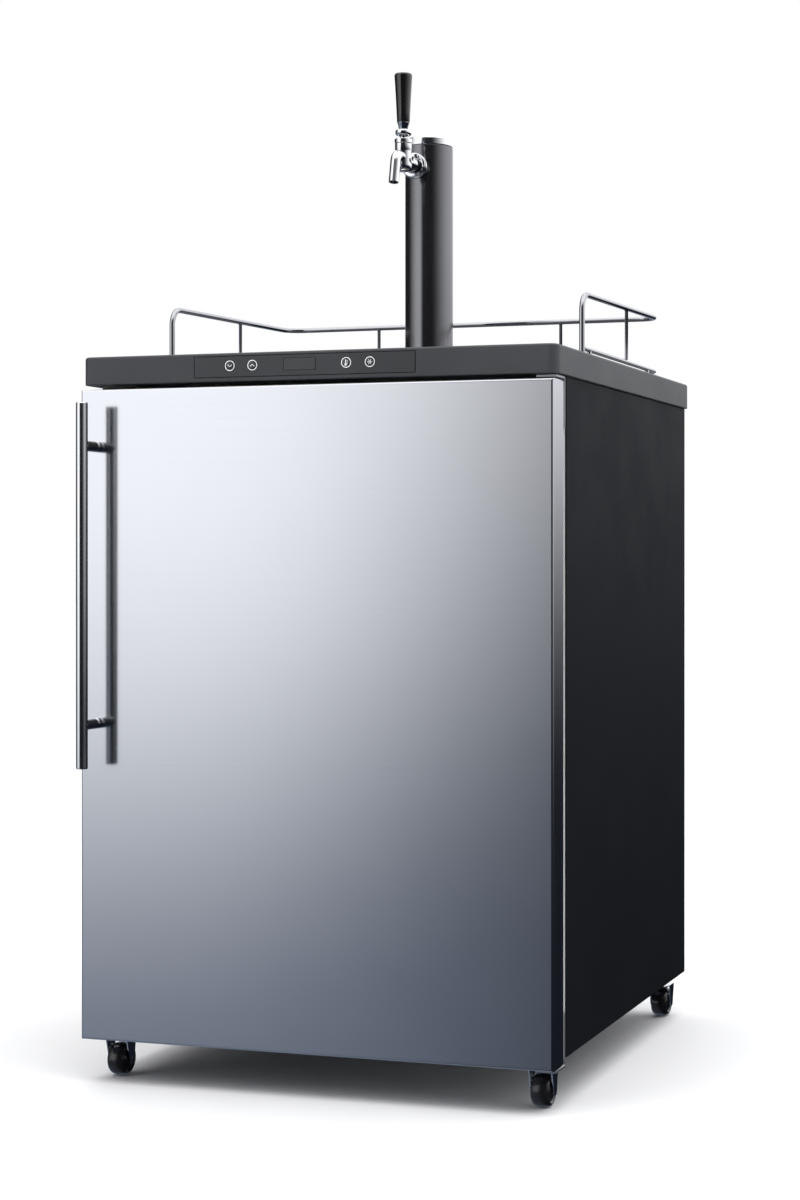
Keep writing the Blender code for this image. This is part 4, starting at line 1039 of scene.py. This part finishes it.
for corner, (x, y) in SWIVELS.items():
    outward_y = 1 if y > 0 else -1
    axle_y = y + outward_y * TRAIL
    wheel = turned(f"wheel_{corner}_tread", wheel_profile, (x, axle_y, WHEEL_R), "X", steps=64)
    finished(wheel, "wheel_rubber", "wheel_" + corner, "caster_wheel_" + corner, angle=40)

    fork = turned(f"fork_{corner}_bearing", bearing_profile, (x, y, 0), steps=48)
    # The strap is one bent sheet: a flat crown, with a leg down each side of the wheel.
    ends = sorted((y - outward_y * 0.0100, y + outward_y * 0.0215))
    strap = block(f"fork_{corner}_strap", (x - FORK_HALF, ends[0], 0.0432), (x + FORK_HALF, ends[1], 0.0448))
    pick(strap, "EDGE", lambda middle, direction: abs(direction.y) > 0.9 and middle.z > 0.044)
    bpy.ops.mesh.bevel(offset=0.0014, segments=5)
    only(strap)
    legs = []
    for side in (-1, 1):
        centre_x = x + side * (FORK_HALF - STRAP / 2)
        leg_profile = [(0.0062, -STRAP / 2), (0.0062, STRAP / 2)]
        leg = turned(f"leg_{side}", leg_profile, (centre_x, axle_y, WHEEL_R), "X", steps=32)
        # The round end is drawn up to the crown: its upper points are moved, then spread.
        pick(leg, "VERT", lambda middle, normal: middle.z > WHEEL_R + 0.0005)
        crown = (centre_x, axle_y - outward_y * 0.002, 0.0440)
        bpy.ops.transform.resize(value=(1, 1.9, 0.0), center_override=crown)
        only(leg)
        legs.append(leg)
        cap_place = (x + side * (FORK_HALF - 0.0012), axle_y, WHEEL_R)
        legs.append(turned("axle_cap", [(r, side * h) for r, h in cap_profile], cap_place, "X", steps=24))
    axle_profile = [(0.003, -FORK_HALF + 0.001), (0.003, FORK_HALF - 0.001)]
    axle = turned("axle", axle_profile, (x, axle_y, WHEEL_R), "X", steps=24)
    fork = joined(fork, strap, axle, *legs)
    finished(fork, "chrome", "caster_" + corner, "caster_fork_" + corner, angle=40)
print("casters:", list(SWIVELS))

# %% [markdown]
# ## Drip tray
# A shallow black tray sits loose on the lid, under the tap. A brushed steel grille rests
# on a ledge inside it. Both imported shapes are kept, with their edges rounded, and so are
# the sheet metal and the liner of the cabinet.

# %% Tray, grille and sheet metal
refined("drip_tray", width=0.0008)
refined("drip_grille", width=0.0004, segments=2)
for name in ("base_frame", "rear_panel", "machine_cover", "power_inlet", "evaporator_cover"):
    refined(name, width=0.0005, segments=2)
for name in ("side_panel_left", "side_panel_right"):
    refined(name, width=0.0012, segments=4)
refined("inner_liner", width=0.0022, segments=4, angle=50)
print("cabinet sheet metal done")

# %% [markdown]
# ## Gas side
# A small aluminium cylinder stands in a cup on the step at the back. Its brass valve has a
# lobed hand wheel, and the regulator carries two gauges and an adjusting knob. The dials
# have plain ticks and a pointer, as any gauge has, and no figures.

# %% Cylinder, cup and valve
CYLINDER = (-0.178, 0.220)
VALVE_Z = 0.683
low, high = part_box("cylinder_bracket")
cup_radius = (high.x - low.x) / 2
cup_profile = [
    (cup_radius, low.z), (cup_radius, high.z - 0.0008), (cup_radius - 0.0011, high.z),
    (cup_radius - 0.0022, high.z - 0.0008), (cup_radius - 0.0022, low.z + 0.0020), (0.004, low.z + 0.0020),
]
cup = turned("cylinder_cup", cup_profile, (*CYLINDER, 0), steps=80)
finished(cup, "zinc", "cabinet", "cylinder_bracket", width=0.0003, segments=2)

low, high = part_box("co2_cylinder")
R = (high.x - low.x) / 2
tank_profile = [
    (R - 0.014, low.z), (R - 0.006, low.z + 0.0020), (R - 0.002, low.z + 0.0065), (R, low.z + 0.014),
]
for step in range(13):
    sweep = math.radians(90 * step / 12)
    tank_profile.append((0.021 + (R - 0.021) * math.cos(sweep), 0.585 + 0.054 * math.sin(sweep)))
tank_profile += [(0.0165, 0.6405), (0.0140, 0.6430), (0.0140, high.z - 0.0008), (0.0132, high.z)]
tank = turned("gas_cylinder", tank_profile, (*CYLINDER, 0), steps=96)
finished(tank, "cylinder_aluminium", "cabinet", "co2_cylinder", angle=40)

low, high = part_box("cylinder_valve")
stem_profile = [
    (0.0122, low.z), (0.0130, low.z + 0.0008), (0.0130, low.z + 0.0046), (0.0120, low.z + 0.0060),
    (0.0100, low.z + 0.0088), (0.0100, 0.6960), (0.0090, 0.7000), (0.0070, 0.7012), (0.0060, 0.7020),
    (0.0045, 0.7024), (0.0045, high.z),
]
valve = turned("valve_stem", stem_profile, (*CYLINDER, 0), steps=48)
outlet_profile = [
    (0.0080, CYLINDER[0]), (0.0080, CYLINDER[0] + 0.018), (0.0085, CYLINDER[0] + 0.0190),
    (0.0085, -0.1412), (0.0076, -0.1400),
]
outlet = turned("valve_outlet", outlet_profile, (0, CYLINDER[1], VALVE_Z), "X", steps=40)
valve = joined(valve, outlet)
finished(valve, "brass", "cabinet", "cylinder_valve", width=0.0002, segments=2)

low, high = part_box("valve_handwheel")
hand_profile = [
    (0.0060, low.z), (0.0185, low.z), (0.0206, low.z + 0.0018), (0.0213, low.z + 0.0048),
    (0.0213, low.z + 0.0070), (0.0204, low.z + 0.0098), (0.0180, high.z - 0.0004), (0.0150, high.z),
    (0.0110, high.z - 0.0018), (0.0070, high.z - 0.0024), (0.0055, high.z - 0.0012),
]
wheel = turned("valve_wheel", hand_profile, (*CYLINDER, 0), steps=96)
# Eight finger lobes: the rim is drawn in between them, most at the widest level.
fluted(wheel, CYLINDER, (0, 1), 0.014, 0.085, 8, 0.8)
finished(wheel, "black_plastic", "handwheel", "valve_handwheel", angle=40)

# %% Regulator, knob and gauges
GAS_Y = CYLINDER[1]
REG_X = -0.100
body_profile = [
    (0.0180, -0.0200), (0.0200, -0.0196), (0.0232, -0.0150), (0.0240, -0.0130), (0.0240, -0.0040),
    (0.0232, -0.0032), (0.0232, -0.0010), (0.0240, -0.0002), (0.0240, 0.0145), (0.0228, 0.0175),
    (0.0200, 0.0197), (0.0170, 0.0200),
]
regulator = turned("regulator_body", body_profile, (REG_X, GAS_Y, VALVE_Z), "Y", steps=64)
hexagon_profile = [
    (0.0108, -0.1397), (0.0115, -0.1389), (0.0115, -0.1245), (0.0100, -0.1230), (0.0080, -0.1228),
    (0.0080, -0.1150),
]
hexagon = turned("regulator_nut", hexagon_profile, (0, GAS_Y, VALVE_Z), "X", steps=6)
barb_profile = [
    (0.0052, 0.6400), (0.0060, 0.6415), (0.0050, 0.6445), (0.0060, 0.6465), (0.0050, 0.6495),
    (0.0050, 0.6640),
]
barb = turned("regulator_barb", barb_profile, (REG_X, GAS_Y, 0), steps=32)
top_profile = [(0.0055, 0.7000), (0.0055, 0.7088), (0.0050, 0.7095)]
port_top = turned("port_top", top_profile, (REG_X, GAS_Y, 0), steps=6)
side_profile = [(0.0055, REG_X + 0.018), (0.0055, REG_X + 0.0258), (0.0050, REG_X + 0.0265)]
port_side = turned("port_side", side_profile, (0, GAS_Y, VALVE_Z), "X", steps=6)
regulator = joined(regulator, hexagon, barb, port_top, port_side)
finished(regulator, "brass", "cabinet", "regulator", width=0.0002, segments=2)

low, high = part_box("regulator_knob")
knob_profile = [
    (0.0090, low.y), (0.0112, low.y + 0.0003), (0.0126, low.y + 0.0016), (0.0130, low.y + 0.0034),
    (0.0130, high.y - 0.0030), (0.0122, high.y - 0.0016), (0.0110, high.y),
]
knob = turned("pressure_knob", knob_profile, (REG_X, 0, VALVE_Z), "Y", steps=72)
fluted(knob, (REG_X, VALVE_Z), (0, 2), 0.0121, 0.045, 18)
finished(knob, "black_plastic", "regulator_knob", "regulator_knob", angle=50)

GAUGES = {"pressure_gauge_line": 215, "pressure_gauge_tank": 120}
for name, reading in GAUGES.items():
    low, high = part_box(name)
    x, z, front = (low.x + high.x) / 2, (low.z + high.z) / 2, low.y
    r = (high.x - low.x) / 2
    case_profile = [
        (r - 0.0022, high.y), (r - 0.0006, high.y - 0.0008), (r, high.y - 0.0026), (r, front + 0.0030),
        (r - 0.0003, front + 0.0008), (r - 0.0012, front), (r - 0.0026, front + 0.0004),
        (r - 0.0030, front + 0.0030),
    ]
    case = turned(name + "_case", case_profile[::-1], (x, 0, z), "Y", steps=72)
    finished(case, "zinc", "cabinet", name, angle=40)
    dial_profile = [(r - 0.0031, front + 0.0026), (r - 0.0031, front + 0.0030)]
    face = turned(name + "_dial", dial_profile, (x, 0, z), "Y", steps=64)
    finished(face, "gauge_face", "cabinet")
    ticks = []
    for step in range(0, 271, 15):
        lean = math.radians(225 - step)
        long = 0.0036 if step % 45 == 0 else 0.0020
        reach = r - 0.0055 - long / 2
        place = (x + reach * math.cos(lean), front + 0.0025, z + reach * math.sin(lean))
        size = (long, 0.0002, 0.0007 if long > 0.003 else 0.0004)
        ticks.append(raised_bar("tick", place, lean, size))
    lean = math.radians(225 - reading)
    place = (x + 0.0055 * math.cos(lean), front + 0.0021, z + 0.0055 * math.sin(lean))
    needle = raised_bar("needle", place, lean, (0.0150, 0.0003, 0.0009))
    hub_profile = [(0.0022, front + 0.0024), (0.0022, front + 0.0016), (0.0016, front + 0.0012)]
    hub = turned("needle_hub", hub_profile, (x, 0, z), "Y", steps=24)
    marks = joined(*ticks, needle, hub)
    marks.name = name + "_marks"
    finished(marks, "gauge_mark", "cabinet")
print("gas parts:", list(GAUGES))

# %% [markdown]
# ## Coupler and hoses
# The keg coupler waits on the step when no keg is inside: a stepped chrome body with a
# black lever round it. The clear beer hose climbs to the tower, and the red gas hose runs
# from the regulator. Both are swept again along their route, so their sides are smooth.

# %% Coupler and its lever
COUPLER = (0.160, 0.235)
low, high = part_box("keg_coupler")
foot = low.z
coupler_profile = [
    (0.0282, foot), (0.0290, foot + 0.0010), (0.0290, foot + 0.0064), (0.0278, foot + 0.0072),
    (0.0278, foot + 0.0092), (0.0290, foot + 0.0100), (0.0290, foot + 0.0144), (0.0270, foot + 0.0160),
    (0.0230, foot + 0.0188), (0.0204, foot + 0.0206), (0.0200, foot + 0.0220), (0.0200, foot + 0.0452),
    (0.0192, foot + 0.0464), (0.0130, foot + 0.0504), (0.0120, foot + 0.0520), (0.0120, foot + 0.0893),
    (0.0110, foot + 0.0915), (0.0080, foot + 0.0945), (0.0075, foot + 0.0960), (0.0075, high.z),
]
coupler = turned("coupler_body", coupler_profile, (*COUPLER, 0), steps=64)
gas_barb_profile = [
    (0.0046, -0.0415), (0.0055, -0.0402), (0.0046, -0.0375), (0.0055, -0.0355), (0.0046, -0.0325),
    (0.0055, -0.0300), (0.0055, -0.0100),
]
gas_barb = turned("coupler_barb", gas_barb_profile, (*COUPLER, 0.328), "X", steps=32)
coupler = joined(coupler, gas_barb)
finished(coupler, "chrome", "cabinet", "keg_coupler", width=0.0002, segments=2)
refined("coupler_lever", width=0.0028, segments=4)
refined("compressor", width=0.012, segments=4, angle=12)

# %% Hoses
HOSE_R = 0.005
ELBOW_END = SHANK_Z - 0.022 - 0.0003
beer_route = [
    (0, 0.126, ELBOW_END), (0, 0.125, 1.05), (0, 0.121, 0.95), (0, 0.119, 0.86), (0.008, 0.126, 0.80),
    (0.050, 0.165, 0.735), (0.120, 0.212, 0.660), (0.155, 0.232, 0.560), (0.160, 0.235, 0.460),
    (0.160, 0.235, 0.4003),
]
gas_route = [
    (REG_X, GAS_Y, 0.6397), (REG_X, GAS_Y, 0.580), (-0.098, 0.222, 0.450), (-0.094, 0.226, 0.370),
    (-0.075, 0.232, 0.318), (-0.030, 0.238, 0.297), (0.030, 0.240, 0.297), (0.070, 0.238, 0.307),
    (0.090, 0.236, 0.324), (0.104, 0.235, 0.328), (0.1175, 0.235, 0.328),
]


def hose(name, route, finish, source):
    """A hose swept along a smooth line through its route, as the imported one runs."""
    made = new_curve(name, len(route))
    for here, spot in zip(made.data.splines[0].bezier_points, route):
        here.co = spot
        here.handle_left_type = here.handle_right_type = "AUTO"
    made = swept(made, HOSE_R - 0.0002, steps=14, fineness=5)
    return finished(made, finish, "cabinet", source, angle=50)


hose("beer_hose", beer_route, "clear_hose", "beer_line")
hose("gas_hose", gas_route, "red_hose", "gas_line")

# %% [markdown]
# ## Back of the cabinet
# The back is a galvanised sheet above and a pressed cover over the machine space. Small
# screws hold both along their sides.

# %% Screws on the back
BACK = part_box("rear_panel")[1].y
SCREW_X = 0.272
rear = [("rear", row, side, z) for row, z in enumerate((0.262, 0.545, 0.828)) for side in (-1, 1)]
cover = [("cover", row, side, z) for side in (-1, 1) for row, z in enumerate((0.068, 0.238))]
for sheet_name, row, side, z in rear + cover:
    spot = (side * SCREW_X, BACK, z)
    screw(f"{sheet_name}_screw_{row}_{side + 1}", spot, "Y", "cabinet", radius=0.0040)
print("hoses and screws done")
